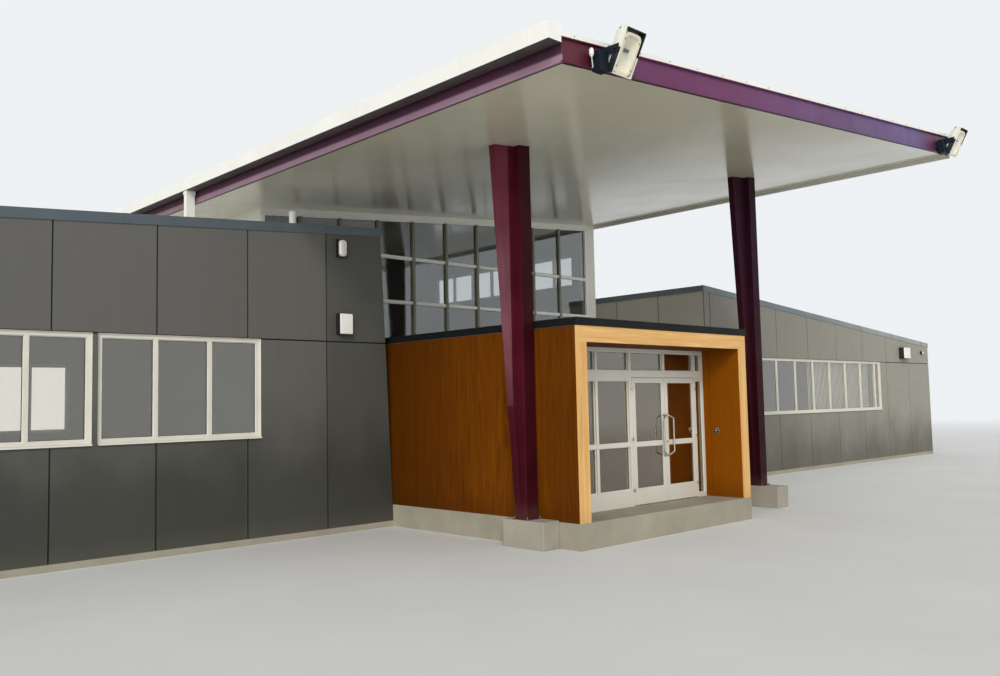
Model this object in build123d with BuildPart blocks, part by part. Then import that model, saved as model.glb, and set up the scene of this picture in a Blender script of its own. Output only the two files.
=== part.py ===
from build123d import *
import os

os.makedirs("parts", exist_ok=True)

# All sizes are in millimetres. X runs to the right along the front, Y runs to the
# back and Z is up. The origin is on the ground at the entrance porch's front left corner.

# Levels above the ground
floor_level = 380
plinth_height = 100
sill_height = 1277
head_height = 2821
sill_level = floor_level + sill_height
head_level = floor_level + head_height

# Walls and cladding
wall_core = 180
panel_thickness = 20
panel_joint = 24
wall_thickness = wall_core + panel_thickness

# Plan of the two wings
wing_front_y = 4371
wing_rear_y = 13200
left_panel_width = 1444
left_panel_count = 8
left_first_joint = -1338
left_end_x = left_first_joint - left_panel_count * left_panel_width
left_rake = 220
right_corner_x = 9843
right_trim_width = 262
right_panel_width = 1760
right_panel_count = 8
right_end_x = right_corner_x + right_panel_count * right_panel_width
link_front_y = 8600
end_panel_target = 1470

# Wing roofs: each falls away from the entrance
left_wing_height = 4884
left_coping_level = floor_level + left_wing_height
left_fall = 0.070
right_wing_height = 4610
right_coping_level = floor_level + right_wing_height
right_fall = 0.075
coping_height = 150
coping_cap = 30
coping_leg = 14
roof_sheet = 100
roof_below_coping = 250

# Foyer
foyer_front_y = 6602
foyer_left_x = -1297
foyer_right_x = 7965
foyer_wall = 300
post_depth = 220

# Canopy and foyer roof: level from front to back, rising to the right
canopy_left_x = -2609
canopy_right_x = 8405
canopy_front_y = -2216
canopy_rear_y = 13500
soffit_height = 5375
soffit_level = floor_level + soffit_height
canopy_rise = 0.084
soffit_sheet = 20
fascia_left_height = 285
fascia_right_height = 350
channel_web = 14
channel_flange = 45
roof_thickness = 40
barge_height = 52
barge_thickness = 12
barge_cover = 120
verge_thickness = 16
verge_drop = 70

# Gutter and downpipe
gutter_width = 200
gutter_height = 200
gutter_sheet = 8
gutter_rise = 210
downpipe_width = 150
downpipe_depth = 110
downpipe_sheet = 3
downpipe_y = 6560

# Tapered columns
column_nose = 230
column_haunch_top = 404
column_haunch_base = 12
column_haunch_depth = 120
column_front_y = 811
left_column_x = -252
right_column_x = 6211
column_base_height = 23
column_base_level = floor_level + column_base_height
pad_margin = 80
pad_depth = 830
pad_front_y = 420

# Windows
frame_edge = 60
frame_bar = 55
frame_depth = 90
frame_setback = 30
glass_thickness = 24
unit_width = 2496
unit_gap = 80
unit_count = 3
unit_lights = 3
left_windows_right_x = -2556
right_window_start = 12330
right_window_end = 19918
right_first_mullion = 13360
right_light = 1033
right_mullion_count = 7

# Entrance porch
porch_width = 4485
porch_jamb_left = 229
porch_jamb_right = 211
porch_head = 239
porch_height = 2822
porch_top = floor_level + porch_height
portal_board = 24
porch_coping_height = 115
porch_coping_leg = 16
porch_coping_width = 120
screen_y = 763
screen_depth = 110
screen_bar = 56
fixed_light_width = 894
narrow_light_width = 282
door_width = 880
door_height = 2100
door_gap = 6
door_floor_gap = 12
door_thickness = 50
door_stile = 75
door_post = 80
door_bottom_rail = 270
door_mid_rail = 60
mid_rail_level = 1000
transom_height = 112
meeting_gap = 10
side_light_bar = 44
side_light_edge = 29
side_light_rail = 70

# Door hinges and handles
knuckle_radius = 9
knuckle_height = 45
hinge_pin_radius = 4
pin_clearance = 0.2
hinge_offset = 15
hinge_seat_gap = 0.3
hinge_leaf = 4
hinge_leaf_length = 42
hinge_foot = 230
hinge_top_edge = 210
hinge_levels = (hinge_foot, (hinge_foot + door_height - hinge_top_edge) / 2, door_height - hinge_top_edge)
handle_height = 680
handle_middle = 1125
handle_reach = 75
handle_neck = 40
handle_crank = 95
handle_slope = 60
handle_radius = 13
handle_bend = 24

# Foyer glazing
glazing_first_mullion = -462
glazing_pitch = 924
glazing_mullion_count = 9
glazing_bar = 62
glazing_depth = 110
glazing_beam = 125
glazing_transom_drop = 525
glazing_transom_level = soffit_level - glazing_transom_drop
glazing_transom = 50
glazing_sill_height = 2970
glazing_sill_level = floor_level + glazing_sill_height
glazing_middle_height = 3900
glazing_middle_level = floor_level + glazing_middle_height
side_window_rise = 245
side_window_height = 880
side_window_head = soffit_level + side_window_rise
side_window_sill = side_window_head - side_window_height
side_window_start_y = 7150
side_window_end_y = 12900
side_window_bays = 7
side_skin_gap = 10

# Lamps and fittings; places are given from the sheet joints and from the wing's end
upper_lamp_offset = 198
upper_lamp_width = 172
upper_lamp_depth = 70
upper_lamp_height = 310
upper_lamp_base = 4260
lower_lamp_offset = 186
lower_lamp_width = 262
lower_lamp_depth = 120
lower_lamp_height = 360
lower_lamp_base = 2940
right_lamp_offset = 2468
right_lamp_width = 530
right_lamp_depth = 170
right_lamp_height = 380
right_lamp_drop = 399
sensor_offset = 640
sensor_drop = 402
sensor_radius = 60
sensor_depth = 70
button_y = 505
button_height = 1159
button_radius = 38
button_depth = 22

# Vent pipe on the left wing's roof
vent_x = -1600
vent_y = 5000
vent_radius = 60
vent_sheet = 4
vent_rise = 318

# Floodlights on the canopy's front edge
floodlight_width = 340
floodlight_length = 520
floodlight_side = 90
floodlight_taper = 80
floodlight_back_width = 280
floodlight_back_length = 360
floodlight_wall = 14
floodlight_recess = 60
floodlight_tilt = 28
floodlight_reach = 270
floodlight_rise = 150
floodlight_xs = (-1780, 8150)
gear_box_width = 150
gear_box_height = 230
gear_box_depth = 120
gear_box_drop = 40
gear_neck_gap = 10
arm_thickness = 12
arm_width = 95
arm_setback = 10
arm_rise = -15


def left_coping(x):
    """Top of the left wing's coping above the ground at x."""
    return left_coping_level + left_fall * x


def right_coping(x):
    """Top of the right wing's coping above the ground at x."""
    return right_coping_level - right_fall * (x - right_corner_x)


def soffit(x):
    """Underside of the canopy and foyer roof at x."""
    return soffit_level + canopy_rise * (x - canopy_left_x)


def fascia_height(x):
    """Height of the roof edge above the soffit at x."""
    along = (x - canopy_left_x) / (canopy_right_x - canopy_left_x)
    return fascia_left_height + (fascia_right_height - fascia_left_height) * along


def roof_top(x):
    """Top of the canopy and foyer roof at x."""
    return soffit(x) + fascia_height(x)


def rake_x(z):
    """Right end of the left wing, which leans away from the porch as it rises."""
    return -left_rake * max(0, z - floor_level) / (left_coping_level - floor_level)


def rect(a0, a1, b0, b1):
    """Corners of an upright rectangle."""
    return [(a0, b0), (a1, b0), (a1, b1), (a0, b1)]


def band(x0, x1, low, high):
    """Corners of a band between two lines given as functions of x."""
    return [(x0, low(x0)), (x1, low(x1)), (x1, high(x1)), (x0, high(x0))]


def plate(plane, depth, outlines, holes=()):
    """Extrude outlines with holes from a plane in the current part."""
    with BuildSketch(plane) as profile:
        for points in outlines:
            Polygon(*points, align=None)
        for points in holes:
            Polygon(*points, align=None, mode=Mode.SUBTRACT)
    extrude(profile.sketch, amount=depth)


def plate_xz(y_front, y_back, outlines, holes=()):
    """Upright plate that faces the front."""
    plate(Plane.XZ.offset(-y_back), y_back - y_front, outlines, holes)


def plate_yz(x_left, x_right, outlines, holes=()):
    """Upright plate that faces a side; its outlines are given as y and z."""
    plate(Plane.YZ.offset(x_left), x_right - x_left, outlines, holes)


def plate_xy(z_low, z_high, outlines, holes=()):
    """Flat plate; its outlines are given as x and y."""
    plate(Plane.XY.offset(z_low), z_high - z_low, outlines, holes)


def even_edges(start, end, target):
    """Panel edges of equal width close to the target from start to end."""
    count = max(1, round(abs(end - start) / target))
    return [start + (end - start) * i / count for i in range(count + 1)]


def panel_cells(edges, bottom, top):
    """Outlines of a lower and an upper row of sheets with open joints between them."""
    cells = []
    half = panel_joint / 2
    for left, right in zip(edges, edges[1:]):
        a = left + half
        b = right - half
        cells.append(rect(a, b, bottom, head_level - half))
        cells.append([(a, head_level + half), (b, head_level + half), (b, top(b)), (a, top(a))])
    return cells


def lights(lines, low, high, edge, bar):
    """Clear openings between upright lines; the first and last lines are outer edges."""
    cells = []
    last = len(lines) - 2
    for i, (left, right) in enumerate(zip(lines, lines[1:])):
        a = left + (edge if i == 0 else bar / 2)
        b = right - (edge if i == last else bar / 2)
        cells.append(band(a, b, low, high))
    return cells


def level(z):
    """A level line as a function of x."""
    return lambda x: z


# Windows of the wings
left_units = []
for i in range(unit_count):
    unit_right = left_windows_right_x - i * (unit_width + unit_gap)
    left_units.append((unit_right - unit_width, unit_right))
left_unit_lines = []
for unit_left, unit_right in left_units:
    step = unit_width / unit_lights
    left_unit_lines.append([unit_left + step * i for i in range(unit_lights + 1)])
right_lines = [right_window_start]
right_lines += [right_first_mullion + right_light * i for i in range(right_mullion_count)]
right_lines += [right_window_end]
window_lines = left_unit_lines + [right_lines]
left_openings = [rect(a, b, sill_level, head_level) for a, b in left_units]
right_openings = [rect(right_window_start, right_window_end, sill_level, head_level)]

# Positions that several pieces share
front_core_y = wing_front_y + panel_thickness
front_inner_y = wing_front_y + wall_thickness
rear_core_y = wing_rear_y - panel_thickness
rear_inner_y = wing_rear_y - wall_thickness
left_core_x = left_end_x + panel_thickness
left_inner_x = left_end_x + wall_thickness
right_core_x = right_end_x - panel_thickness
right_inner_x = right_end_x - wall_thickness
return_core_x = right_corner_x + panel_thickness
return_inner_x = right_corner_x + wall_thickness
foyer_left_inner = foyer_left_x + foyer_wall
foyer_right_outer = foyer_right_x + foyer_wall
glazing_inner_y = foyer_front_y + glazing_depth
transom_bottom = glazing_transom_level - glazing_transom / 2
transom_top = glazing_transom_level + glazing_transom / 2
porch_inner_left = porch_jamb_left
porch_inner_right = porch_width - porch_jamb_right
porch_ceiling = porch_top - porch_head
link_core_y = link_front_y + panel_thickness
link_inner_y = link_front_y + wall_thickness


def left_wall_top(x):
    """Top of the left wing's walls, under the coping."""
    return left_coping(x) - coping_cap


def right_wall_top(x):
    """Top of the right wing's walls, under the coping."""
    return right_coping(x) - coping_cap


# Floor slab: a plinth that shows below the cladding, and the floor inside it
with BuildPart() as floor_slab:
    plate_xy(0, plinth_height, [[
        (left_end_x, wing_front_y), (0, wing_front_y), (0, 0), (porch_width, 0),
        (porch_width, foyer_front_y), (foyer_right_outer, foyer_front_y),
        (foyer_right_outer, link_front_y), (right_corner_x, link_front_y),
        (right_corner_x, wing_front_y), (right_end_x, wing_front_y),
        (right_end_x, wing_rear_y), (left_end_x, wing_rear_y)]])
    plate_xy(plinth_height, floor_level, [[
        (left_core_x, front_core_y), (0, front_core_y), (0, 0), (porch_width, 0),
        (porch_width, foyer_front_y), (foyer_right_outer, foyer_front_y),
        (foyer_right_outer, link_core_y), (return_core_x, link_core_y),
        (return_core_x, front_core_y), (right_core_x, front_core_y),
        (right_core_x, rear_core_y), (left_core_x, rear_core_y)]])
floor_slab.part.label = "floor_slab"
export_step(floor_slab.part, "parts/floor_slab.step")

# Left wing's front wall, with its raked right end beside the porch
with BuildPart() as left_front_wall:
    top_left = left_wall_top(left_core_x)
    top_right = left_wall_top(-left_rake)
    plate_xz(front_core_y, front_inner_y, [[
        (left_core_x, floor_level), (0, floor_level),
        (rake_x(top_right), top_right), (left_core_x, top_left)]], left_openings)
left_front_wall.part.label = "left_front_wall"
export_step(left_front_wall.part, "parts/left_front_wall.step")

with BuildPart() as left_end_wall:
    plate_yz(left_core_x, left_inner_x,
             [rect(front_inner_y, rear_inner_y, floor_level, left_wall_top(left_end_x))])
left_end_wall.part.label = "left_end_wall"
export_step(left_end_wall.part, "parts/left_end_wall.step")

# Short wall behind the raked end, from the front wall back to the foyer
with BuildPart() as left_return_wall:
    return_top = left_wall_top(-left_rake)
    plate_xz(front_inner_y, foyer_front_y, [[
        (-wall_core, floor_level), (0, floor_level),
        (rake_x(return_top), return_top), (rake_x(return_top) - wall_core, return_top)]])
left_return_wall.part.label = "left_return_wall"
export_step(left_return_wall.part, "parts/left_return_wall.step")

with BuildPart() as right_front_wall:
    plate_xz(front_core_y, front_inner_y,
             [band(return_core_x, right_core_x, level(floor_level), right_wall_top)], right_openings)
right_front_wall.part.label = "right_front_wall"
export_step(right_front_wall.part, "parts/right_front_wall.step")

with BuildPart() as right_end_wall:
    plate_yz(right_inner_x, right_core_x,
             [rect(front_inner_y, rear_inner_y, floor_level, right_wall_top(right_end_x))])
right_end_wall.part.label = "right_end_wall"
export_step(right_end_wall.part, "parts/right_end_wall.step")

# Right wing's wall towards the porch
with BuildPart() as right_return_wall:
    plate_yz(return_core_x, return_inner_x,
             [rect(front_inner_y, link_core_y, floor_level, right_wall_top(return_inner_x))])
right_return_wall.part.label = "right_return_wall"
export_step(right_return_wall.part, "parts/right_return_wall.step")

# Set-back wall that links the right wing to the foyer
with BuildPart() as link_wall:
    plate_xz(link_core_y, link_inner_y,
             [band(foyer_right_outer, return_inner_x, level(floor_level), right_wall_top)])
link_wall.part.label = "link_wall"
export_step(link_wall.part, "parts/link_wall.step")

# Rear wall of both wings, as one wall on each side of the foyer
with BuildPart() as left_rear_wall:
    plate_xz(rear_inner_y, rear_core_y,
             [band(left_core_x, foyer_left_x, level(floor_level), left_wall_top)], left_openings)
left_rear_wall.part.label = "left_rear_wall"
export_step(left_rear_wall.part, "parts/left_rear_wall.step")

with BuildPart() as right_rear_wall:
    plate_xz(rear_inner_y, rear_core_y,
             [band(foyer_right_outer, right_core_x, level(floor_level), right_wall_top)], right_openings)
right_rear_wall.part.label = "right_rear_wall"
export_step(right_rear_wall.part, "parts/right_rear_wall.step")

# Foyer walls, up to the soffit
with BuildPart() as foyer_left_wall:
    plate_xz(foyer_front_y, rear_inner_y,
             [rect(foyer_left_x, foyer_left_inner, floor_level, transom_bottom)])
    plate_xz(glazing_inner_y, rear_inner_y,
             [band(foyer_left_x, foyer_left_inner, level(transom_bottom), soffit)])
foyer_left_wall.part.label = "foyer_left_wall"
export_step(foyer_left_wall.part, "parts/foyer_left_wall.step")

side_window_lines = even_edges(side_window_start_y, side_window_end_y,
                               (side_window_end_y - side_window_start_y) / side_window_bays)
side_window_hole = rect(side_window_start_y, side_window_end_y, side_window_sill, side_window_head)
with BuildPart() as foyer_right_wall:
    plate_xz(foyer_front_y + post_depth, rear_inner_y,
             [band(foyer_right_x, foyer_right_outer, level(floor_level), soffit)])
    with BuildSketch(Plane.YZ.offset(foyer_right_x)) as side_hole:
        Polygon(*side_window_hole, align=None)
    extrude(side_hole.sketch, amount=foyer_wall, mode=Mode.SUBTRACT)
foyer_right_wall.part.label = "foyer_right_wall"
export_step(foyer_right_wall.part, "parts/foyer_right_wall.step")

with BuildPart() as foyer_rear_wall:
    plate_xz(rear_inner_y, rear_core_y,
             [band(foyer_left_x, foyer_right_outer, level(floor_level), soffit)])
foyer_rear_wall.part.label = "foyer_rear_wall"
export_step(foyer_rear_wall.part, "parts/foyer_rear_wall.step")

# Front of the foyer: below the glazing, on both sides of the way in from the porch
with BuildPart() as foyer_front_wall:
    plate_xz(foyer_front_y, foyer_front_y + wall_thickness, [
        [(foyer_left_inner, floor_level), (porch_inner_left, floor_level),
         (porch_inner_left, porch_ceiling), (0, porch_ceiling), (0, transom_bottom),
         (foyer_left_inner, transom_bottom)],
        [(porch_inner_right, floor_level), (foyer_right_x, floor_level),
         (foyer_right_x, glazing_sill_level), (porch_width, glazing_sill_level),
         (porch_width, porch_ceiling), (porch_inner_right, porch_ceiling)]])
foyer_front_wall.part.label = "foyer_front_wall"
export_step(foyer_front_wall.part, "parts/foyer_front_wall.step")

with BuildPart() as foyer_front_beam:
    plate_xz(foyer_front_y, foyer_front_y + wall_thickness,
             [rect(0, porch_width, porch_ceiling, glazing_sill_level)])
foyer_front_beam.part.label = "foyer_front_beam"
export_step(foyer_front_beam.part, "parts/foyer_front_beam.step")

with BuildPart() as foyer_corner_post:
    plate_xz(foyer_front_y, foyer_front_y + post_depth,
             [band(foyer_right_x, foyer_right_outer, level(floor_level), soffit)])
foyer_corner_post.part.label = "foyer_corner_post"
export_step(foyer_corner_post.part, "parts/foyer_corner_post.step")

# Cladding sheets with open joints
left_edges = [left_end_x + i * left_panel_width for i in range(left_panel_count + 1)]
left_rear_edges = even_edges(left_end_x, foyer_left_x, left_panel_width)
end_edges = even_edges(front_core_y, rear_core_y, end_panel_target)
half_joint = panel_joint / 2
with BuildPart() as left_panels:
    strip_left = left_first_joint + half_joint
    strip_top = left_wall_top(-left_rake)
    raked_strip = [
        [(strip_left, plinth_height), (0, plinth_height),
         (rake_x(head_level - half_joint), head_level - half_joint),
         (strip_left, head_level - half_joint)],
        [(strip_left, head_level + half_joint), (rake_x(head_level + half_joint), head_level + half_joint),
         (rake_x(strip_top), strip_top), (strip_left, left_wall_top(strip_left))]]
    plate_xz(wing_front_y, front_core_y,
             panel_cells(left_edges, plinth_height, left_wall_top) + raked_strip, left_openings)
    plate_yz(left_end_x, left_core_x,
             panel_cells(end_edges, plinth_height, level(left_wall_top(left_end_x))))
    plate_xz(rear_core_y, wing_rear_y,
             panel_cells(left_rear_edges, plinth_height, left_wall_top), left_openings)
left_panels.part.label = "left_panels"
export_step(left_panels.part, "parts/left_panels.step")

right_joints = [right_corner_x + i * right_panel_width for i in range(right_panel_count + 1)]
right_edges = [right_corner_x, right_corner_x + right_trim_width] + right_joints[1:]
right_rear_edges = even_edges(foyer_right_outer, right_end_x, right_panel_width)
return_edges = even_edges(front_core_y, link_front_y, end_panel_target)
link_edges = even_edges(foyer_right_outer, right_corner_x, end_panel_target)
with BuildPart() as right_panels:
    plate_xz(wing_front_y, front_core_y,
             panel_cells(right_edges, plinth_height, right_wall_top), right_openings)
    plate_yz(right_corner_x, return_core_x,
             panel_cells(return_edges, plinth_height, level(right_wall_top(return_inner_x))))
    plate_xz(link_front_y, link_core_y, panel_cells(link_edges, plinth_height, right_wall_top))
    plate_yz(right_core_x, right_end_x,
             panel_cells(end_edges, plinth_height, level(right_wall_top(right_end_x))))
    plate_xz(rear_core_y, wing_rear_y,
             panel_cells(right_rear_edges, plinth_height, right_wall_top), right_openings)
right_panels.part.label = "right_panels"
export_step(right_panels.part, "parts/right_panels.step")

# Foyer cladding: full height where the wall is free, above the wing roofs elsewhere
left_skin_low = left_coping(foyer_left_x) + side_skin_gap
right_skin_low = right_coping(foyer_right_outer) + side_skin_gap
court_end = link_front_y - coping_leg - half_joint
court_edges = even_edges(foyer_front_y + post_depth, court_end, end_panel_target)
upper_edges = even_edges(link_front_y, wing_rear_y, end_panel_target)
left_side_edges = even_edges(foyer_front_y, wing_rear_y, end_panel_target)
foyer_rear_edges = even_edges(foyer_left_x, foyer_right_outer, end_panel_target)
with BuildPart() as foyer_panels:
    plate_xz(foyer_front_y - panel_thickness, foyer_front_y,
             [rect(porch_width, foyer_right_x, plinth_height, glazing_sill_level)])
    plate_yz(foyer_left_x - panel_thickness, foyer_left_x,
             [rect(a + half_joint, b - half_joint, left_skin_low, soffit(foyer_left_x - panel_thickness))
              for a, b in zip(left_side_edges, left_side_edges[1:])])
    plate_yz(foyer_right_outer, foyer_right_outer + panel_thickness,
             panel_cells(court_edges, plinth_height, level(soffit(foyer_right_outer))),
             [side_window_hole])
    plate_yz(foyer_right_outer, foyer_right_outer + panel_thickness,
             [rect(a + half_joint, b - half_joint, right_skin_low, soffit(foyer_right_outer))
              for a, b in zip(upper_edges, upper_edges[1:])], [side_window_hole])
    plate_xz(rear_core_y, wing_rear_y, panel_cells(foyer_rear_edges, plinth_height, soffit))
foyer_panels.part.label = "foyer_panels"
export_step(foyer_panels.part, "parts/foyer_panels.step")


def coping_leg_line(y_front, y_back, x_left, x_right, top):
    """Outer leg of a coping between two planes, following the roof line."""
    plate_xz(y_front, y_back, [band(x_left, x_right, lambda x: top(x) - coping_height, top)])


# Copings: a cap over wall and cladding with a leg down the outer face
with BuildPart() as wing_copings:
    return_top = left_wall_top(-left_rake)
    leg_left = rake_x(left_coping(-left_rake) - coping_height)
    coping_end = leg_left + coping_leg
    left_outer = left_end_x - coping_leg
    right_outer = right_end_x + coping_leg
    leg_front = wing_front_y - coping_leg
    leg_rear = wing_rear_y + coping_leg
    plate_xz(wing_front_y, front_inner_y, [band(left_end_x, coping_end, left_wall_top, left_coping)])
    plate_xz(front_inner_y, foyer_front_y,
             [band(rake_x(return_top) - wall_core, coping_end, level(return_top), left_coping)])
    plate_xz(front_inner_y, rear_inner_y,
             [band(left_end_x, left_inner_x, level(left_wall_top(left_end_x)), left_coping)])
    plate_xz(rear_inner_y, wing_rear_y, [band(left_end_x, foyer_left_x, left_wall_top, left_coping)])
    coping_leg_line(leg_front, wing_front_y, left_outer, coping_end, left_coping)
    coping_leg_line(wing_front_y, foyer_front_y, leg_left, coping_end, left_coping)
    coping_leg_line(wing_front_y, wing_rear_y, left_outer, left_end_x, left_coping)
    coping_leg_line(wing_rear_y, leg_rear, left_outer, foyer_left_x, left_coping)
    plate_xz(wing_front_y, front_inner_y,
             [band(right_corner_x, right_end_x, right_wall_top, right_coping)])
    plate_xz(front_inner_y, link_front_y,
             [band(right_corner_x, return_inner_x, level(right_wall_top(return_inner_x)), right_coping)])
    plate_xz(link_front_y, link_inner_y,
             [band(foyer_right_outer, return_inner_x, right_wall_top, right_coping)])
    plate_xz(front_inner_y, rear_inner_y,
             [band(right_inner_x, right_end_x, level(right_wall_top(right_end_x)), right_coping)])
    plate_xz(rear_inner_y, wing_rear_y,
             [band(foyer_right_outer, right_end_x, right_wall_top, right_coping)])
    coping_leg_line(leg_front, wing_front_y, right_corner_x - coping_leg, right_outer, right_coping)
    coping_leg_line(wing_front_y, link_front_y, right_corner_x - coping_leg, right_corner_x, right_coping)
    coping_leg_line(link_front_y - coping_leg, link_front_y, foyer_right_outer,
                    right_corner_x - coping_leg, right_coping)
    coping_leg_line(wing_front_y, wing_rear_y, right_end_x, right_outer, right_coping)
    coping_leg_line(wing_rear_y, leg_rear, foyer_right_outer, right_outer, right_coping)
wing_copings.part.label = "wing_copings"
export_step(wing_copings.part, "parts/wing_copings.step")


def left_roof(x):
    """Top of the left wing's roof sheet."""
    return left_coping(x) - roof_below_coping


def left_ceiling(x):
    """Underside of the left wing's roof sheet."""
    return left_roof(x) - roof_sheet


def right_roof(x):
    """Top of the right wing's roof sheet."""
    return right_coping(x) - roof_below_coping


def right_ceiling(x):
    """Underside of the right wing's roof sheet."""
    return right_roof(x) - roof_sheet


with BuildPart() as wing_roofs:
    roof_left_edge = rake_x(left_coping(-left_rake)) - wall_core
    plate_xz(front_inner_y, rear_inner_y, [band(left_inner_x, foyer_left_x, left_ceiling, left_roof)])
    plate_xz(front_inner_y, foyer_front_y, [band(foyer_left_x, roof_left_edge, left_ceiling, left_roof)])
    plate_xz(front_inner_y, rear_inner_y, [band(return_inner_x, right_inner_x, right_ceiling, right_roof)])
    plate_xz(link_inner_y, rear_inner_y,
             [band(foyer_right_outer, return_inner_x, right_ceiling, right_roof)])
wing_roofs.part.label = "wing_roofs"
export_step(wing_roofs.part, "parts/wing_roofs.step")

# Canopy and foyer roof: soffit sheet, channel edges and roof sheet
left_channel_inner = canopy_left_x + channel_flange
front_channel_inner = canopy_front_y + channel_flange
rear_channel_inner = canopy_rear_y - channel_flange


def soffit_top(x):
    """Top of the soffit sheet."""
    return soffit(x) + soffit_sheet


def deck_top(x):
    """Top of the roof sheet."""
    return roof_top(x) + roof_thickness


def flashing_top(x):
    """Top of the flashings along the roof's edges."""
    return roof_top(x) + barge_height


def channel(y_front, y_back, x_left, x_right, y_web_front, y_web_back, x_web_left):
    """Edge channel seen along Y: two flanges and a web between them."""
    plate_xz(y_front, y_back, [band(x_left, x_right, soffit, lambda x: soffit(x) + channel_web)])
    plate_xz(y_front, y_back, [band(x_left, x_right, lambda x: roof_top(x) - channel_web, roof_top)])
    plate_xz(y_web_front, y_web_back, [band(x_web_left, x_right, soffit, roof_top)])


with BuildPart() as canopy_soffit:
    plate_xz(front_channel_inner, rear_channel_inner,
             [band(left_channel_inner, canopy_right_x, soffit, soffit_top)])
canopy_soffit.part.label = "canopy_soffit"
export_step(canopy_soffit.part, "parts/canopy_soffit.step")

with BuildPart() as canopy_fascia:
    web_left = left_channel_inner - channel_web
    web_front = front_channel_inner - channel_web
    web_rear = rear_channel_inner + channel_web
    channel(canopy_front_y, front_channel_inner, canopy_left_x, canopy_right_x,
            web_front, front_channel_inner, web_left)
    channel(rear_channel_inner, canopy_rear_y, canopy_left_x, canopy_right_x,
            rear_channel_inner, web_rear, web_left)
    channel(front_channel_inner, rear_channel_inner, canopy_left_x, left_channel_inner,
            front_channel_inner, rear_channel_inner, web_left)
canopy_fascia.part.label = "canopy_fascia"
export_step(canopy_fascia.part, "parts/canopy_fascia.step")

with BuildPart() as canopy_roof:
    plate_xz(canopy_front_y + barge_thickness, canopy_rear_y,
             [band(canopy_left_x, canopy_right_x, roof_top, deck_top)])
canopy_roof.part.label = "canopy_roof"
export_step(canopy_roof.part, "parts/canopy_roof.step")

with BuildPart() as barge_flashing:
    plate_xz(canopy_front_y, canopy_front_y + barge_thickness,
             [band(canopy_left_x, canopy_right_x, roof_top, flashing_top)])
    plate_xz(canopy_front_y + barge_thickness, canopy_front_y + barge_cover,
             [band(canopy_left_x, canopy_right_x, deck_top, flashing_top)])
barge_flashing.part.label = "barge_flashing"
export_step(barge_flashing.part, "parts/barge_flashing.step")

with BuildPart() as verge_flashing:
    plate_xz(canopy_front_y, canopy_rear_y,
             [band(canopy_right_x, canopy_right_x + verge_thickness,
                   lambda x: soffit(canopy_right_x) - verge_drop, flashing_top)])
verge_flashing.part.label = "verge_flashing"
export_step(verge_flashing.part, "parts/verge_flashing.step")

# Box gutter along the low edge, with stop ends, and its downpipe to the wing roof
gutter_left = canopy_left_x - gutter_width
gutter_low = soffit(canopy_left_x) + gutter_rise
gutter_top = gutter_low + gutter_height
with BuildPart() as gutter:
    inner_left = gutter_left + gutter_sheet
    inner_right = canopy_left_x - gutter_sheet
    plate_xz(canopy_front_y, canopy_rear_y, [[
        (gutter_left, gutter_top), (gutter_left, gutter_low), (canopy_left_x, gutter_low),
        (canopy_left_x, gutter_top), (inner_right, gutter_top), (inner_right, gutter_low + gutter_sheet),
        (inner_left, gutter_low + gutter_sheet), (inner_left, gutter_top)]])
    for y_end in (canopy_front_y, canopy_rear_y - gutter_sheet):
        plate_xz(y_end, y_end + gutter_sheet, [rect(gutter_left, canopy_left_x, gutter_low, gutter_top)])
gutter.part.label = "gutter"
export_step(gutter.part, "parts/gutter.step")

with BuildPart() as downpipe:
    pipe_left = gutter_left + (gutter_width - downpipe_width) / 2
    pipe_right = pipe_left + downpipe_width
    pipe_back = downpipe_y + downpipe_depth
    plate_xy(left_roof(pipe_right), gutter_low,
             [rect(pipe_left, pipe_right, downpipe_y, pipe_back)],
             [rect(pipe_left + downpipe_sheet, pipe_right - downpipe_sheet,
                   downpipe_y + downpipe_sheet, pipe_back - downpipe_sheet)])
downpipe.part.label = "downpipe"
export_step(downpipe.part, "parts/downpipe.step")

with BuildPart() as vent_pipe:
    vent_top = left_coping(vent_x) + vent_rise
    with BuildSketch(Plane.XY.offset(left_roof(vent_x + vent_radius))) as vent_ring:
        with Locations((vent_x, vent_y)):
            Circle(vent_radius)
            Circle(vent_radius - vent_sheet, mode=Mode.SUBTRACT)
    extrude(vent_ring.sketch, amount=vent_top - left_roof(vent_x + vent_radius))
vent_pipe.part.label = "vent_pipe"
export_step(vent_pipe.part, "parts/vent_pipe.step")

# Columns: a square nose with a haunch at its back that widens towards the roof
haunch_front_y = column_front_y + column_nose - column_haunch_depth
with BuildPart() as columns:
    for x in (left_column_x, right_column_x):
        plate_xz(column_front_y, column_front_y + column_nose,
                 [band(x, x + column_nose, level(column_base_level), soffit)])
        plate_xz(haunch_front_y, column_front_y + column_nose, [[
            (x - column_haunch_base, column_base_level), (x, column_base_level),
            (x, soffit(x)), (x - column_haunch_top, soffit(x - column_haunch_top))]])
columns.part.label = "columns"
export_step(columns.part, "parts/columns.step")

with BuildPart() as column_pads:
    left_pad = rect(left_column_x - pad_margin, 0, pad_front_y, pad_front_y + pad_depth)
    right_pad = rect(right_column_x - pad_margin, right_column_x + column_nose + pad_margin,
                     pad_front_y, pad_front_y + pad_depth)
    plate_xy(0, column_base_level, [left_pad, right_pad])
column_pads.part.label = "column_pads"
export_step(column_pads.part, "parts/column_pads.step")

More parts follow.
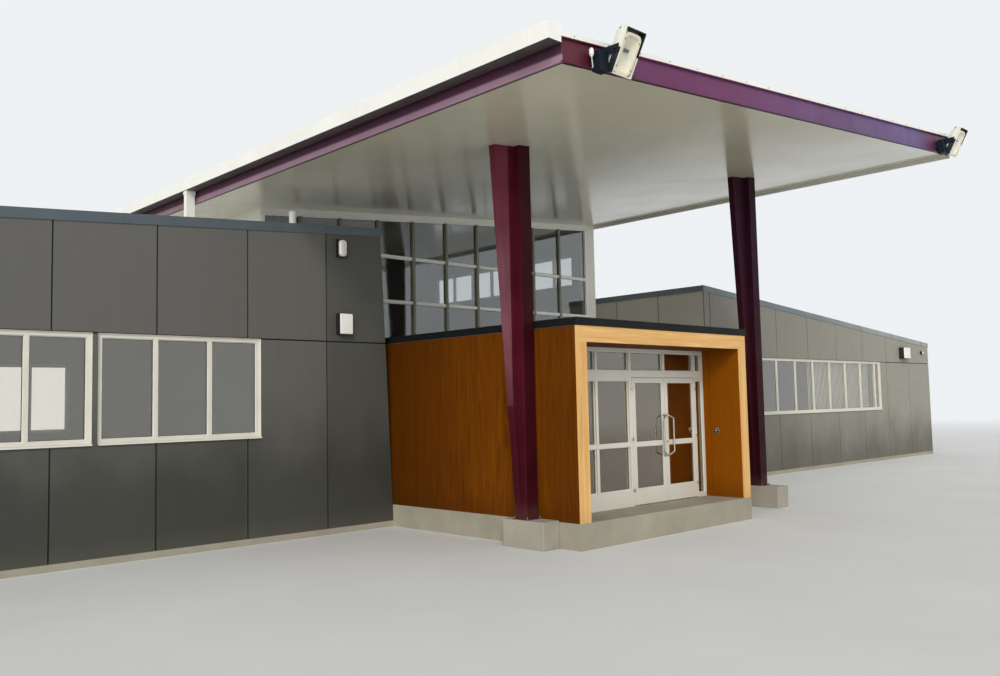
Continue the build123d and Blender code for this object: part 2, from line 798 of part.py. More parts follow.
# Windows of the wings, the same at the front and the rear
frame_low = level(sill_level + frame_edge)
frame_high = level(head_level - frame_edge)
window_lights = []
for lines in window_lines:
    window_lights += lights(lines, frame_low, frame_high, frame_edge, frame_bar)
front_frame_y = wing_front_y + frame_setback
rear_frame_y = wing_rear_y - frame_setback - frame_depth
glass_inset = (frame_depth - glass_thickness) / 2
with BuildPart() as window_frames:
    for y in (front_frame_y, rear_frame_y):
        plate_xz(y, y + frame_depth, left_openings + right_openings, window_lights)
window_frames.part.label = "window_frames"
export_step(window_frames.part, "parts/window_frames.step")

with BuildPart() as window_glass:
    for y in (front_frame_y + glass_inset, rear_frame_y + glass_inset):
        plate_xz(y, y + glass_thickness, window_lights)
window_glass.part.label = "window_glass"
export_step(window_glass.part, "parts/window_glass.step")


def glazing_high(x):
    """Underside of the white beam over the foyer glazing."""
    return soffit(x) - glazing_beam


# Foyer glazing: it steps down from the left wing's roof to the porch roof
mullions = [glazing_first_mullion + glazing_pitch * i for i in range(glazing_mullion_count)]
upper_lines = [foyer_left_x] + mullions + [foyer_right_x]
lower_lines = [0] + [x for x in mullions if x > 0] + [foyer_right_x]
middle_low = glazing_middle_level - glazing_transom / 2
middle_high = glazing_middle_level + glazing_transom / 2
sill_top = glazing_sill_level + glazing_bar
glazing_lights = lights(upper_lines, level(transom_top), glazing_high, glazing_bar, glazing_bar)
glazing_lights += lights(lower_lines, level(middle_high), level(transom_bottom), glazing_bar, glazing_bar)
glazing_lights += lights(lower_lines, level(sill_top), level(middle_low), glazing_bar, glazing_bar)
with BuildPart() as glazing_frame:
    plate_xz(foyer_front_y, glazing_inner_y, [[
        (foyer_left_x, transom_bottom), (0, transom_bottom), (0, glazing_sill_level),
        (foyer_right_x, glazing_sill_level), (foyer_right_x, soffit(foyer_right_x)),
        (foyer_left_x, soffit(foyer_left_x))]], glazing_lights)
glazing_frame.part.label = "glazing_frame"
export_step(glazing_frame.part, "parts/glazing_frame.step")

with BuildPart() as glazing_glass:
    pane_y = foyer_front_y + (glazing_depth - glass_thickness) / 2
    plate_xz(pane_y, pane_y + glass_thickness, glazing_lights)
glazing_glass.part.label = "glazing_glass"
export_step(glazing_glass.part, "parts/glazing_glass.step")

# Ribbon window in the foyer's right side wall
side_lights = lights(side_window_lines, level(side_window_sill + frame_edge),
                     level(side_window_head - frame_edge), frame_edge, frame_bar)
side_frame_x = foyer_right_outer - frame_setback - frame_depth
with BuildPart() as side_window_frame:
    plate_yz(side_frame_x, side_frame_x + frame_depth, [side_window_hole], side_lights)
side_window_frame.part.label = "side_window_frame"
export_step(side_window_frame.part, "parts/side_window_frame.step")

with BuildPart() as side_window_glass:
    side_pane_x = side_frame_x + glass_inset
    plate_yz(side_pane_x, side_pane_x + glass_thickness, side_lights)
side_window_glass.part.label = "side_window_glass"
export_step(side_window_glass.part, "parts/side_window_glass.step")

# Entrance porch: timber side walls, roof, edge frame and dark coping
with BuildPart() as porch_left_wall:
    plate_xz(portal_board, foyer_front_y, [rect(0, porch_inner_left, floor_level, porch_ceiling)])
porch_left_wall.part.label = "porch_left_wall"
export_step(porch_left_wall.part, "parts/porch_left_wall.step")

with BuildPart() as porch_right_wall:
    plate_xz(portal_board, foyer_front_y,
             [rect(porch_inner_right, porch_width, floor_level, porch_ceiling)])
porch_right_wall.part.label = "porch_right_wall"
export_step(porch_right_wall.part, "parts/porch_right_wall.step")

with BuildPart() as porch_roof:
    plate_xz(portal_board, foyer_front_y, [rect(0, porch_width, porch_ceiling, porch_top)])
porch_roof.part.label = "porch_roof"
export_step(porch_roof.part, "parts/porch_roof.step")

with BuildPart() as porch_portal:
    plate_xz(0, portal_board, [[
        (0, floor_level), (porch_inner_left, floor_level), (porch_inner_left, porch_ceiling),
        (porch_inner_right, porch_ceiling), (porch_inner_right, floor_level),
        (porch_width, floor_level), (porch_width, porch_top), (0, porch_top)]])
porch_portal.part.label = "porch_portal"
export_step(porch_portal.part, "parts/porch_portal.step")

with BuildPart() as porch_coping:
    kerb_inner = porch_coping_width - porch_coping_leg
    plate_xy(porch_top, porch_top + porch_coping_height, [[
        (-porch_coping_leg, -porch_coping_leg), (porch_width + porch_coping_leg, -porch_coping_leg),
        (porch_width + porch_coping_leg, foyer_front_y - panel_thickness),
        (porch_width - kerb_inner, foyer_front_y - panel_thickness), (porch_width - kerb_inner, kerb_inner),
        (kerb_inner, kerb_inner), (kerb_inner, foyer_front_y - panel_thickness),
        (-porch_coping_leg, foyer_front_y - panel_thickness)]])
porch_coping.part.label = "porch_coping"
export_step(porch_coping.part, "parts/porch_coping.step")

# Entrance screen: side light and door post, narrow light, transom lights
door_low = floor_level + door_floor_gap
door_high = floor_level + door_height
opening_top = door_high + door_gap
opening_right = porch_inner_right - narrow_light_width
door_right_x = opening_right - door_gap
right_leaf_x = door_right_x - door_width
door_left_x = right_leaf_x - meeting_gap - door_width
opening_left = door_left_x - door_gap
first_mullion_x = opening_left - fixed_light_width
rail_low = floor_level + mid_rail_level - door_mid_rail / 2
rail_high = floor_level + mid_rail_level + door_mid_rail / 2
rail_bottom = floor_level + door_bottom_rail
fixed_top = opening_top - screen_bar
side_panes = []
for low, high in ((rail_bottom, rail_low), (rail_high, fixed_top)):
    left_cell = rect(porch_inner_left + screen_bar, first_mullion_x - screen_bar / 2, low, high)
    right_cell = rect(first_mullion_x + screen_bar / 2, opening_left - door_post, low, high)
    side_panes += [left_cell, right_cell]
narrow_pane = rect(opening_right + side_light_bar, porch_inner_right - side_light_edge,
                   floor_level + side_light_rail, fixed_top)
transom_lines = [porch_inner_left, first_mullion_x, opening_left - door_post / 2,
                 right_leaf_x - meeting_gap / 2, opening_right + side_light_bar / 2, porch_inner_right]
transom_panes = lights(transom_lines, level(opening_top + transom_height),
                       level(porch_ceiling - screen_bar), screen_bar, screen_bar)
screen_back_y = screen_y + screen_depth
with BuildPart() as screen_frame:
    plate_xz(screen_y, screen_back_y,
             [rect(porch_inner_left, opening_left, floor_level, opening_top),
              rect(opening_right, porch_inner_right, floor_level, opening_top)],
             side_panes + [narrow_pane])
screen_frame.part.label = "screen_frame"
export_step(screen_frame.part, "parts/screen_frame.step")

with BuildPart() as screen_transom:
    plate_xz(screen_y, screen_back_y,
             [rect(porch_inner_left, porch_inner_right, opening_top, porch_ceiling)], transom_panes)
screen_transom.part.label = "screen_transom"
export_step(screen_transom.part, "parts/screen_transom.step")

with BuildPart() as screen_glass:
    screen_pane_y = screen_y + (screen_depth - glass_thickness) / 2
    plate_xz(screen_pane_y, screen_pane_y + glass_thickness, side_panes + [narrow_pane] + transom_panes)
screen_glass.part.label = "screen_glass"
export_step(screen_glass.part, "parts/screen_glass.step")


# Lift-off hinges: the frame carries the lower knuckle and the pin, the leaf the upper knuckle
hinge_y = screen_y - hinge_offset
left_hinge_x = door_left_x - door_gap / 2
right_hinge_x = door_right_x + door_gap / 2


def knuckle(x, side, z_low):
    """Knuckle on the hinge line with its web and its leaf on the face towards the side."""
    web_near = x + side * door_gap / 2
    web_far = x + side * knuckle_radius
    leaf_far = web_near + side * hinge_leaf_length
    with BuildSketch(Plane.XY.offset(z_low)) as profile:
        with Locations((x, hinge_y)):
            Circle(knuckle_radius)
        Polygon(*rect(min(web_near, web_far), max(web_near, web_far), hinge_y, screen_y), align=None)
        Polygon(*rect(min(web_near, leaf_far), max(web_near, leaf_far),
                      screen_y - hinge_leaf, screen_y), align=None)
    extrude(profile.sketch, amount=knuckle_height)


def upper_knuckles(x, side):
    """Bored upper knuckles of one door leaf."""
    for z in hinge_levels:
        seat = floor_level + z + knuckle_height + hinge_seat_gap
        knuckle(x, side, seat)
        with BuildSketch(Plane.XY.offset(seat)) as bore:
            with Locations((x, hinge_y)):
                Circle(hinge_pin_radius + pin_clearance)
        extrude(bore.sketch, amount=knuckle_height, mode=Mode.SUBTRACT)


with BuildPart() as door_hinges:
    for x, side in ((left_hinge_x, -1), (right_hinge_x, 1)):
        for z in hinge_levels:
            knuckle(x, side, floor_level + z)
            with BuildSketch(Plane.XY.offset(floor_level + z + knuckle_height)) as pin:
                with Locations((x, hinge_y)):
                    Circle(hinge_pin_radius)
            extrude(pin.sketch, amount=knuckle_height)
door_hinges.part.label = "door_hinges"
export_step(door_hinges.part, "parts/door_hinges.step")


def leaf_panes(x):
    """Glass openings of the door leaf whose left edge is at x."""
    left = x + door_stile
    right = x + door_width - door_stile
    return [rect(left, right, rail_bottom, rail_low), rect(left, right, rail_high, door_high - door_stile)]


def door_leaf(x):
    """Frame of the door leaf whose left edge is at x."""
    plate_xz(screen_y, screen_y + door_thickness,
             [rect(x, x + door_width, door_low, door_high)], leaf_panes(x))


def leaf_glass(x):
    """Panes of the door leaf whose left edge is at x."""
    pane_front = screen_y + (door_thickness - glass_thickness) / 2
    plate_xz(pane_front, pane_front + glass_thickness, leaf_panes(x))


def pull_handle(x, side):
    """Cranked tube handles on both faces of a leaf, offset towards the glass."""
    z_low = floor_level + handle_middle - handle_height / 2
    z_high = z_low + handle_height
    for face, out in ((screen_y, -1), (screen_y + door_thickness, 1)):
        neck = face + out * handle_neck
        grip = face + out * handle_reach
        with BuildLine() as path:
            FilletPolyline(
                (x, face, z_low), (x, neck, z_low),
                (x + side * handle_crank, grip, z_low + handle_slope),
                (x + side * handle_crank, grip, z_high - handle_slope),
                (x, neck, z_high), (x, face, z_high), radius=handle_bend)
        start = Plane(origin=(x, face, z_low), z_dir=(0, out, 0))
        with BuildSketch(start) as section:
            Circle(handle_radius)
        sweep(section.sketch, path=path.line)


with BuildPart() as left_door:
    door_leaf(door_left_x)
    upper_knuckles(left_hinge_x, 1)
left_door.part.label = "left_door"
export_step(left_door.part, "parts/left_door.step")

with BuildPart() as right_door:
    door_leaf(right_leaf_x)
    upper_knuckles(right_hinge_x, -1)
right_door.part.label = "right_door"
export_step(right_door.part, "parts/right_door.step")

with BuildPart() as left_door_glass:
    leaf_glass(door_left_x)
left_door_glass.part.label = "left_door_glass"
export_step(left_door_glass.part, "parts/left_door_glass.step")

with BuildPart() as right_door_glass:
    leaf_glass(right_leaf_x)
right_door_glass.part.label = "right_door_glass"
export_step(right_door_glass.part, "parts/right_door_glass.step")

with BuildPart() as left_door_handles:
    pull_handle(door_left_x + door_width - door_stile / 2, -1)
left_door_handles.part.label = "left_door_handles"
export_step(left_door_handles.part, "parts/left_door_handles.step")

with BuildPart() as right_door_handles:
    pull_handle(right_leaf_x + door_stile / 2, 1)
right_door_handles.part.label = "right_door_handles"
export_step(right_door_handles.part, "parts/right_door_handles.step")

# Lamps on the wings' front walls, and the button in the porch
upper_lamp_x = left_first_joint + upper_lamp_offset
lower_lamp_x = left_first_joint + lower_lamp_offset
right_lamp_x = right_end_x - right_lamp_offset
right_lamp_low = right_coping(right_lamp_x) - right_lamp_drop - right_lamp_height
sensor_x = right_end_x - sensor_offset
sensor_level = right_coping(sensor_x) - sensor_drop
wall_boxes = (
    (upper_lamp_x, upper_lamp_width, upper_lamp_depth, floor_level + upper_lamp_base, upper_lamp_height),
    (lower_lamp_x, lower_lamp_width, lower_lamp_depth, floor_level + lower_lamp_base, lower_lamp_height),
    (right_lamp_x, right_lamp_width, right_lamp_depth, right_lamp_low, right_lamp_height))
with BuildPart() as wall_lamps:
    for x, width, depth, low, height in wall_boxes:
        plate_xz(wing_front_y - depth, wing_front_y, [rect(x, x + width, low, low + height)])
    with BuildSketch(Plane.XZ.offset(-wing_front_y)) as sensor:
        with Locations((sensor_x, sensor_level)):
            Circle(sensor_radius)
    extrude(sensor.sketch, amount=sensor_depth)
wall_lamps.part.label = "wall_lamps"
export_step(wall_lamps.part, "parts/wall_lamps.step")

with BuildPart() as door_button:
    with BuildSketch(Plane.YZ.offset(porch_inner_right)) as button_face:
        with Locations((button_y, floor_level + button_height)):
            Circle(button_radius)
    extrude(button_face.sketch, amount=-button_depth)
door_button.part.label = "door_button"
export_step(door_button.part, "parts/door_button.step")


def floodlight_centre(x):
    """Middle of the lamp's glass side."""
    return (x, canopy_front_y - floodlight_reach, soffit(x) + floodlight_rise)


def floodlight_plane(x):
    """Plane of the lamp's glass side, tilted to face the ground in front."""
    face = Plane(origin=floodlight_centre(x), x_dir=(1, 0, 0), z_dir=(0, -1, 0))
    return face.rotated((floodlight_tilt, 0, 0))


# Floodlights: tapered housings open at the glass side
with BuildPart() as floodlights:
    for x in floodlight_xs:
        front = floodlight_plane(x)
        shoulder = front.offset(-floodlight_side)
        with BuildSketch(front) as rim:
            Rectangle(floodlight_width, floodlight_length)
        extrude(rim.sketch, amount=-floodlight_side)
        with BuildSketch(shoulder) as shoulder_side:
            Rectangle(floodlight_width, floodlight_length)
        with BuildSketch(shoulder.offset(-floodlight_taper)) as back_side:
            Rectangle(floodlight_back_width, floodlight_back_length)
        loft(sections=[shoulder_side.sketch, back_side.sketch])
        with BuildSketch(front) as recess:
            Rectangle(floodlight_width - 2 * floodlight_wall, floodlight_length - 2 * floodlight_wall)
        extrude(recess.sketch, amount=-floodlight_recess, mode=Mode.SUBTRACT)
floodlights.part.label = "floodlights"
export_step(floodlights.part, "parts/floodlights.step")

# Stirrups and gear boxes that hold the floodlights, seated on the web of the front channel
with BuildPart() as floodlight_brackets:
    for x in floodlight_xs:
        centre_y, centre_z = floodlight_centre(x)[1:]
        web_face = front_channel_inner - channel_web
        arm_low = centre_z + arm_rise
        arm_side = rect(centre_y + arm_setback, web_face, arm_low, arm_low + arm_width)
        for arm_left in (x - floodlight_width / 2 - arm_thickness, x + floodlight_width / 2):
            plate_yz(arm_left, arm_left + arm_thickness, [arm_side])
        box_right = x - floodlight_width / 2 - arm_thickness
        box_left = box_right - gear_box_width
        box_low = soffit(box_left) - gear_box_drop
        box_high = box_low + gear_box_height
        neck_low = soffit(box_right) + channel_web + gear_neck_gap
        plate_xz(canopy_front_y - gear_box_depth, canopy_front_y,
                 [rect(box_left, box_right, box_low, box_high)])
        plate_xz(canopy_front_y, web_face, [rect(box_left, box_right, neck_low, box_high)])
floodlight_brackets.part.label = "floodlight_brackets"
export_step(floodlight_brackets.part, "parts/floodlight_brackets.step")
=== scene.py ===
import math

import bmesh
import bpy
from mathutils import Matrix, Vector


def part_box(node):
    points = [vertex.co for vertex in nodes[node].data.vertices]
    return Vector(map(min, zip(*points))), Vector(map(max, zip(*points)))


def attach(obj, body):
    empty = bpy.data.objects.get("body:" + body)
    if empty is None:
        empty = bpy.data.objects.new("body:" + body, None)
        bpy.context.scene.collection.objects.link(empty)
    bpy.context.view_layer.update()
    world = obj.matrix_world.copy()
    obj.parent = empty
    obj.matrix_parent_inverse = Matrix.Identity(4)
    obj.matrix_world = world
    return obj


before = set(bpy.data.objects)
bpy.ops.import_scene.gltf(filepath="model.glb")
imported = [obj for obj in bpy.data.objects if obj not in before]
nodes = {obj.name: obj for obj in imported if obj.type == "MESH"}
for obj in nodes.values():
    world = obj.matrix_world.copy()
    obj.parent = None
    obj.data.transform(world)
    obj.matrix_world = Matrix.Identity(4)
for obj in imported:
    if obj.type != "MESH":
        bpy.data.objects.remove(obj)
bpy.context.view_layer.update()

# Camera, at the photograph's place and angle; lengths are in metres and angles in degrees
camera_place = Vector((-9.714, -8.596, 2.096))
camera_yaw = 43.696
camera_pitch = 4.147
camera_roll = -1.227
camera_lens = 32.68

# Levels and places that the looks depend on
floor_level = 0.380
plinth_top = 0.100
head_level = 3.201
porch_ceiling = 2.963
porch_roof_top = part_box("porch_roof")[1][2]
porch_right = 4.285
screen_back = 0.874
link_back = 9.0
dado_top = 1.35
sill_level = 1.657
wing_front = 4.371
wing_rear = 13.200
mirror_sum = wing_front + wing_rear
canopy_left = -2.609
canopy_right = 8.405
canopy_front = -2.216
canopy_rise = 0.084
fascia_side = -2.5655
gutter_top, gutter_low = 6.165, 5.965
foyer_mullion, foyer_pitch, foyer_bar, foyer_beam = -0.462, 0.924, 0.092, 0.126
column_nose, column_haunch, column_side = 0.8125, 0.9185, -0.382


def left_coping(x):
    """Top of the left wing's coping at x."""
    return 5.264 + 0.070 * x


def right_coping(x):
    """Top of the right wing's coping at x."""
    return 4.990 - 0.075 * (x - 9.843)


def soffit(x):
    """Underside of the canopy at x."""
    return 5.755 + canopy_rise * (x - canopy_left)


def roof_top(x):
    """Top of the canopy's edge channel at x."""
    return soffit(x) + 0.285 + 0.065 * (x - canopy_left) / (canopy_right - canopy_left)


def deck_top(x):
    """Top of the canopy's roof sheet at x."""
    return roof_top(x) + 0.040


def linear(code):
    """Linear colour with alpha from a six-digit screen colour."""
    channels = [int(code[i:i + 2], 16) / 255 for i in (0, 2, 4)]
    return [c / 12.92 if c <= 0.04045 else ((c + 0.055) / 1.055) ** 2.4 for c in channels] + [1]


def shade(code, factor):
    """The colour made darker or lighter."""
    return [min(1, c * factor) for c in linear(code)[:3]] + [1]


class Tree:
    """The nodes of a material or of the world."""

    def __init__(self, owner):
        owner.use_nodes = True
        self.tree = owner.node_tree
        self.tree.nodes.clear()

    def feed(self, socket, value):
        """Set a socket to a number or a colour, or join it to an output."""
        if isinstance(value, Signal):
            value = value.socket
        if isinstance(value, bpy.types.NodeSocket):
            self.tree.links.new(value, socket)
        else:
            socket.default_value = linear(value) if isinstance(value, str) else value

    def node(self, kind, *values):
        """A new node with values for its first sockets."""
        node = self.tree.nodes.new("ShaderNode" + kind)
        for socket, value in zip(node.inputs, values):
            self.feed(socket, value)
        return node

    def math(self, kind, first, second=0.0):
        """Result of a sum on two values."""
        node = self.node("Math", first, second)
        node.operation = kind
        return Signal(self, node.outputs[0])

    def vector(self, kind, first, second):
        """Result of a sum on two places."""
        node = self.node("VectorMath", first, second)
        node.operation = kind
        return Signal(self, node.outputs[0])


class Signal:
    """A node's output; sums on it make further nodes, * joins masks and | takes the larger value."""

    def __init__(self, tree, socket):
        self.tree = tree
        self.socket = socket

    def __add__(self, other):
        return self.tree.math("ADD", self, other)

    def __sub__(self, other):
        return self.tree.math("SUBTRACT", self, other)

    def __mul__(self, other):
        return self.tree.math("MULTIPLY", self, other)

    def __or__(self, other):
        return self.tree.math("MAXIMUM", self, other)

    def __gt__(self, other):
        return self.tree.math("GREATER_THAN", self, other)

    def __lt__(self, other):
        return self.tree.math("LESS_THAN", self, other)

    def span(self, low, high, first=0.0, last=1.0, kind="LINEAR"):
        """Map a range of values to another, clamped at its ends."""
        node = self.tree.node("MapRange", self, low, high, first, last)
        node.interpolation_type = kind
        return Signal(self.tree, node.outputs[0])

    def ease(self, low, high, first=0.0, last=1.0):
        """Map a range of values to another with a soft start and end."""
        return self.span(low, high, first, last, "SMOOTHSTEP")

    def line(self, pitch, width, start):
        """1 on thin lines that repeat at a pitch, 0 elsewhere."""
        return self.tree.math("PINGPONG", self - start, pitch / 2) < width / 2

    def cell(self, pitch, start):
        """A fixed random number for each repeat of a pitch."""
        steps = self.tree.math("FLOOR", self.tree.math("DIVIDE", self - start, pitch))
        node = self.tree.node("TexWhiteNoise")
        node.noise_dimensions = "1D"
        self.tree.feed(node.inputs["W"], steps)
        return Signal(self.tree, node.outputs["Value"])


class Finish(Tree):
    """One procedural material; its patterns use object coordinates in metres."""

    def __init__(self, name, metallic=0.0):
        self.name = name
        self.material = bpy.data.materials.new(name)
        super().__init__(self.material)
        self.shader = self.node("BsdfPrincipled")
        self.output = self.node("OutputMaterial", self.shader.outputs[0])
        self.set("Metallic", metallic)
        self.coords = self.node("TexCoord").outputs["Object"]
        self.axes = [Signal(self, axis) for axis in self.node("SeparateXYZ", self.coords).outputs]

    def set(self, name, value):
        """Set one of the shader's own sockets."""
        self.feed(self.shader.inputs[name], value)

    def noise(self, scale, detail=3.0, roughness=0.55, stretch=(1, 1, 1), distortion=0.0, shift=None):
        """Cloudy pattern between 0 and 1, shifted and then stretched axis by axis."""
        place = self.coords if shift is None else self.vector("ADD", self.coords, shift)
        node = self.node("TexNoise", self.vector("MULTIPLY", place, stretch))
        for name, value in (("Scale", scale), ("Detail", detail), ("Roughness", roughness),
                            ("Distortion", distortion)):
            node.inputs[name].default_value = value
        return Signal(self, node.outputs[0])

    def blend(self, amount, first, second):
        """Blend two colours."""
        node = self.node("Mix", amount)
        node.data_type = "RGBA"
        self.feed(node.inputs[6], first)
        self.feed(node.inputs[7], second)
        return Signal(self, node.outputs[2])

    def mingle(self, pattern, first, second):
        """Two colours in soft patches."""
        return self.blend(pattern.span(0.3, 0.7), first, second)

    def paint(self, colour):
        """Give the surface a colour."""
        self.colour = colour
        self.set("Base Color", colour)
        return self

    def over(self, amount, colour):
        """Lay a colour over the surface's own by an amount."""
        return self.paint(self.blend(amount, self.colour, colour))

    def streak(self, colour, amount, low=0.5, width=7, length=0.5):
        """Lay streaks of a colour down the surface."""
        runs = self.noise(1.0, 4.0, 0.6, (width, width, length))
        return self.over(runs.span(low, 0.8, 0.0, amount), colour)

    def soil(self, colour, amount, high, low, scale=3.0, depth=0.3):
        """Lay dirt over the foot of the surface, with a ragged upper edge."""
        level = self.axes[2] + self.noise(scale, 4.0) * -depth
        return self.over(level.ease(high, low, 0.0, amount), colour)

    def cover(self, amount, other):
        """Let another shader take the surface's place by an amount."""
        joined = self.node("MixShader", amount, self.shader.outputs[0], other.outputs[0])
        self.feed(self.output.inputs[0], joined.outputs[0])
        return self

    def relief(self, height, distance):
        """Raise the surface by a pattern, in metres."""
        bump = self.node("Bump")
        bump.inputs["Strength"].default_value = 1.0
        bump.inputs["Distance"].default_value = distance
        self.feed(bump.inputs["Height"], height)
        self.set("Normal", bump.outputs[0])
        return self

    def feel(self, pattern, smooth, rough, height, distance):
        """Roughness between two values by a pattern, and relief."""
        self.set("Roughness", pattern.span(0.3, 0.7, smooth, rough))
        return self.relief(height, distance)


def coated(name, code, roughness=0.38, mottle=0.10, cloud=1.6, grain=120.0, relief=0.0002,
           streaks=0.0, splash=0.0, metallic=0.0, gloss=0.5):
    """Painted or coated sheet: cloudy tone, fine grain, rain streaks and splash at its foot."""
    finish = Finish(name, metallic)
    clouds = finish.noise(cloud, 4.0)
    finish.paint(finish.mingle(clouds, shade(code, 1 - mottle), shade(code, 1 + mottle)))
    fine = finish.noise(grain, 2.0)
    finish.over(fine.span(0.35, 0.75, 0.0, 0.5 * mottle), shade(code, 0.6))
    if streaks:
        finish.streak(shade(code, 0.62), streaks)
    if splash:
        finish.soil("6b6252", splash, 0.9, -0.25, 2.2, 0.5)
    finish.set("Specular IOR Level", gloss)
    worn = finish.noise(2.6, 5.0, 0.6)
    return finish.feel(worn, max(0.05, roughness - 0.08), roughness + 0.1, fine, relief)


def cladding(name, code, low_code, pitch, start, low=0.9, high=2.4, shaded=None, fade=None):
    """Painted fibre-cement sheets, each with its own tone, paler high up and darker at the foot as painted
    shade; shaded and fade add painted shade beside the entrance, and fade also painted light on the return
    walls.
    """
    finish = Finish(name)
    x, y, z = finish.axes
    # Painted shade: the sheets turn to the low colour towards their foot.
    height = z + finish.noise(0.9, 4.0, 0.55, (1, 1, 0.6)).span(0.3, 0.7, -0.35, 0.35)
    finish.paint(finish.blend(height.ease(low, high), low_code, code))
    finish.over((x + y).cell(pitch, start).span(0.0, 1.0, 0.0, 0.09), shade(code, 1.5))
    # Painted shade on the sheets past the shaded x, beside the entrance.
    if shaded:
        finish.over(x.span(shaded - 0.02, shaded + 0.02, 0.0, 0.45), shade(low_code, 0.9))
    # Painted shade on the front towards the entrance, and painted light on the return walls.
    if fade:
        face = wing_front + 0.03
        finish.over((y < face) * x.span(fade[0], fade[1], 0.5, 0.0), low_code)
        finish.over((y > face) * (y < link_back) * 0.85, shade(code, 1.7))
    finish.streak(shade(low_code, 0.75), 0.10, 0.5, 9, 0.35)
    fine = finish.noise(140.0, 2.0)
    finish.over(fine.span(0.45, 0.8, 0.0, 0.07), shade(code, 0.5))
    finish.soil("8a8170", 0.10, 0.30, -0.15)
    finish.set("Specular IOR Level", 0.35)
    waves = finish.noise(1.6, 2.0, 0.4)
    return finish.feel(finish.noise(3.0, 4.0), 0.48, 0.64, fine * 0.12 + waves, 0.0016)


def plywood(name):
    """Oiled plywood with upright grain, its own figure on each sheet and dark sheet joints; painted shade
    darkens the back and the front of the walls, and painted light brightens the right wall.
    """
    finish = Finish(name)
    code, dark_code = "824601", "562b01"
    x, y, z = finish.axes
    along = x + y
    sheet_width, first_joint = 1.2, 0.1
    own = along.cell(sheet_width, first_joint)
    shift = own * 37.0
    figure = finish.noise(1.0, 5.0, 0.6, (8.0, 8.0, 0.7), 1.6, shift)
    finish.paint(finish.blend(figure.span(0.25, 0.75), dark_code, code))
    fibres = finish.noise(1.0, 4.0, 0.65, (95.0, 95.0, 2.6), 0.3, shift)
    finish.over(fibres.span(0.42, 0.75, 0.0, 0.26), shade(dark_code, 0.6))
    blotch = finish.noise(1.7, 4.0, 0.6, (1, 1, 0.8))
    finish.over(blotch.span(0.5, 0.75, 0.0, 0.22), shade(code, 1.2))
    finish.over(own.span(0.0, 1.0, 0.0, 0.16), shade(dark_code, 0.8))
    # Painted shade: darker towards the back of the porch walls and towards their front beside the portal.
    finish.over(y.ease(1.3, 4.4, 0.0, 0.75), shade(dark_code, 0.65))
    finish.over(y.ease(1.1, 0.2, 0.0, 0.40), shade(dark_code, 0.8))
    # Painted light on the right porch wall.
    finish.over((x > 4.0) * (x < porch_right) * 0.6, shade(code, 1.5))
    finish.soil(shade(dark_code, 0.5), 0.35, 0.6, 0.1, 3.0, 0.5)
    joint = along.line(sheet_width, 0.005, first_joint)
    finish.over(joint * 0.75, shade(dark_code, 0.25))
    finish.set("Specular IOR Level", 0.08)
    return finish.feel(fibres, 0.45, 0.62, fibres - joint * 2.0, 0.0008)


def porch_board(name):
    """Plywood ceiling board with a grey roof membrane on its top."""
    finish = plywood(name)
    membrane = finish.mingle(finish.noise(1.2, 4.0), "8b8f8d", "9a9e9b")
    return finish.over(finish.axes[2] > porch_roof_top - 0.004, membrane)


def pale_timber(name):
    """Clear-coated pale timber: the grain runs along the head and up the jambs."""
    finish = Finish(name)
    code, dark_code = "efc27c", "d29a50"
    upright = finish.noise(1.0, 5.0, 0.6, (16, 16, 0.7), 1.2)
    level = finish.noise(1.0, 5.0, 0.6, (0.7, 16, 16), 1.2)
    grain = upright + (finish.axes[2] > porch_ceiling) * (level - upright)
    finish.paint(finish.blend(grain.span(0.3, 0.72), dark_code, code))
    speck = finish.noise(1.0, 3.0, 0.6, (120, 120, 120))
    finish.over(speck.span(0.55, 0.8, 0.0, 0.15), shade(dark_code, 0.6))
    finish.soil(shade(dark_code, 0.55), 0.35, 0.5, 0.15, 4.0)
    return finish.feel(grain, 0.32, 0.46, grain, 0.0009)


def window_pane(name, tint, mirror):
    """Glass with a faint film of dust and a share of mirror; lamps shine through it."""
    finish = Finish(name, mirror).paint(tint)
    finish.set("Transmission Weight", 1.0)
    finish.set("IOR", 1.5)
    film = finish.noise(1.5, 5.0, 0.6, (1, 1, 0.5))
    finish.set("Roughness", film.span(0.4, 0.75, 0.01, 0.058))
    rays = finish.node("LightPath").outputs
    passing = finish.math("MAXIMUM", rays["Is Shadow Ray"], rays["Is Diffuse Ray"])
    return finish.cover(passing, finish.node("BsdfTransparent", tint))


def concrete(name, code):
    """Cast concrete with pores, stained patches and a sandy grain."""
    finish = Finish(name)
    stains_and_shade = finish.noise(1.1, 5.0, 0.65)
    finish.paint(finish.mingle(stains_and_shade, shade(code, 0.78), shade(code, 1.1)))
    sand = finish.noise(160.0, 3.0)
    finish.over(sand.span(0.4, 0.8, 0.0, 0.3), shade(code, 0.55))
    pores = finish.noise(38.0, 2.0).span(0.70, 0.76)
    finish.over(pores * 0.6, shade(code, 0.35))
    return finish.feel(stains_and_shade, 0.75, 0.95, sand - pores, 0.0012)


def slab_concrete(name, code):
    """Concrete, carpeted indoors and dark where it stands behind the open sheet joints."""
    finish = concrete(name, code)
    x, y, z = finish.axes
    carpet = finish.mingle(finish.noise(220.0, 3.0), "39331f", "4b4430")
    finish.over((z > floor_level - 0.002) * (y > screen_back), carpet)
    behind = (z > plinth_top + 0.002) * (z < floor_level - 0.002)
    return finish.over(behind * (y > 0.1) * ((x < -0.01) | (x > 4.5)), "191a1a")


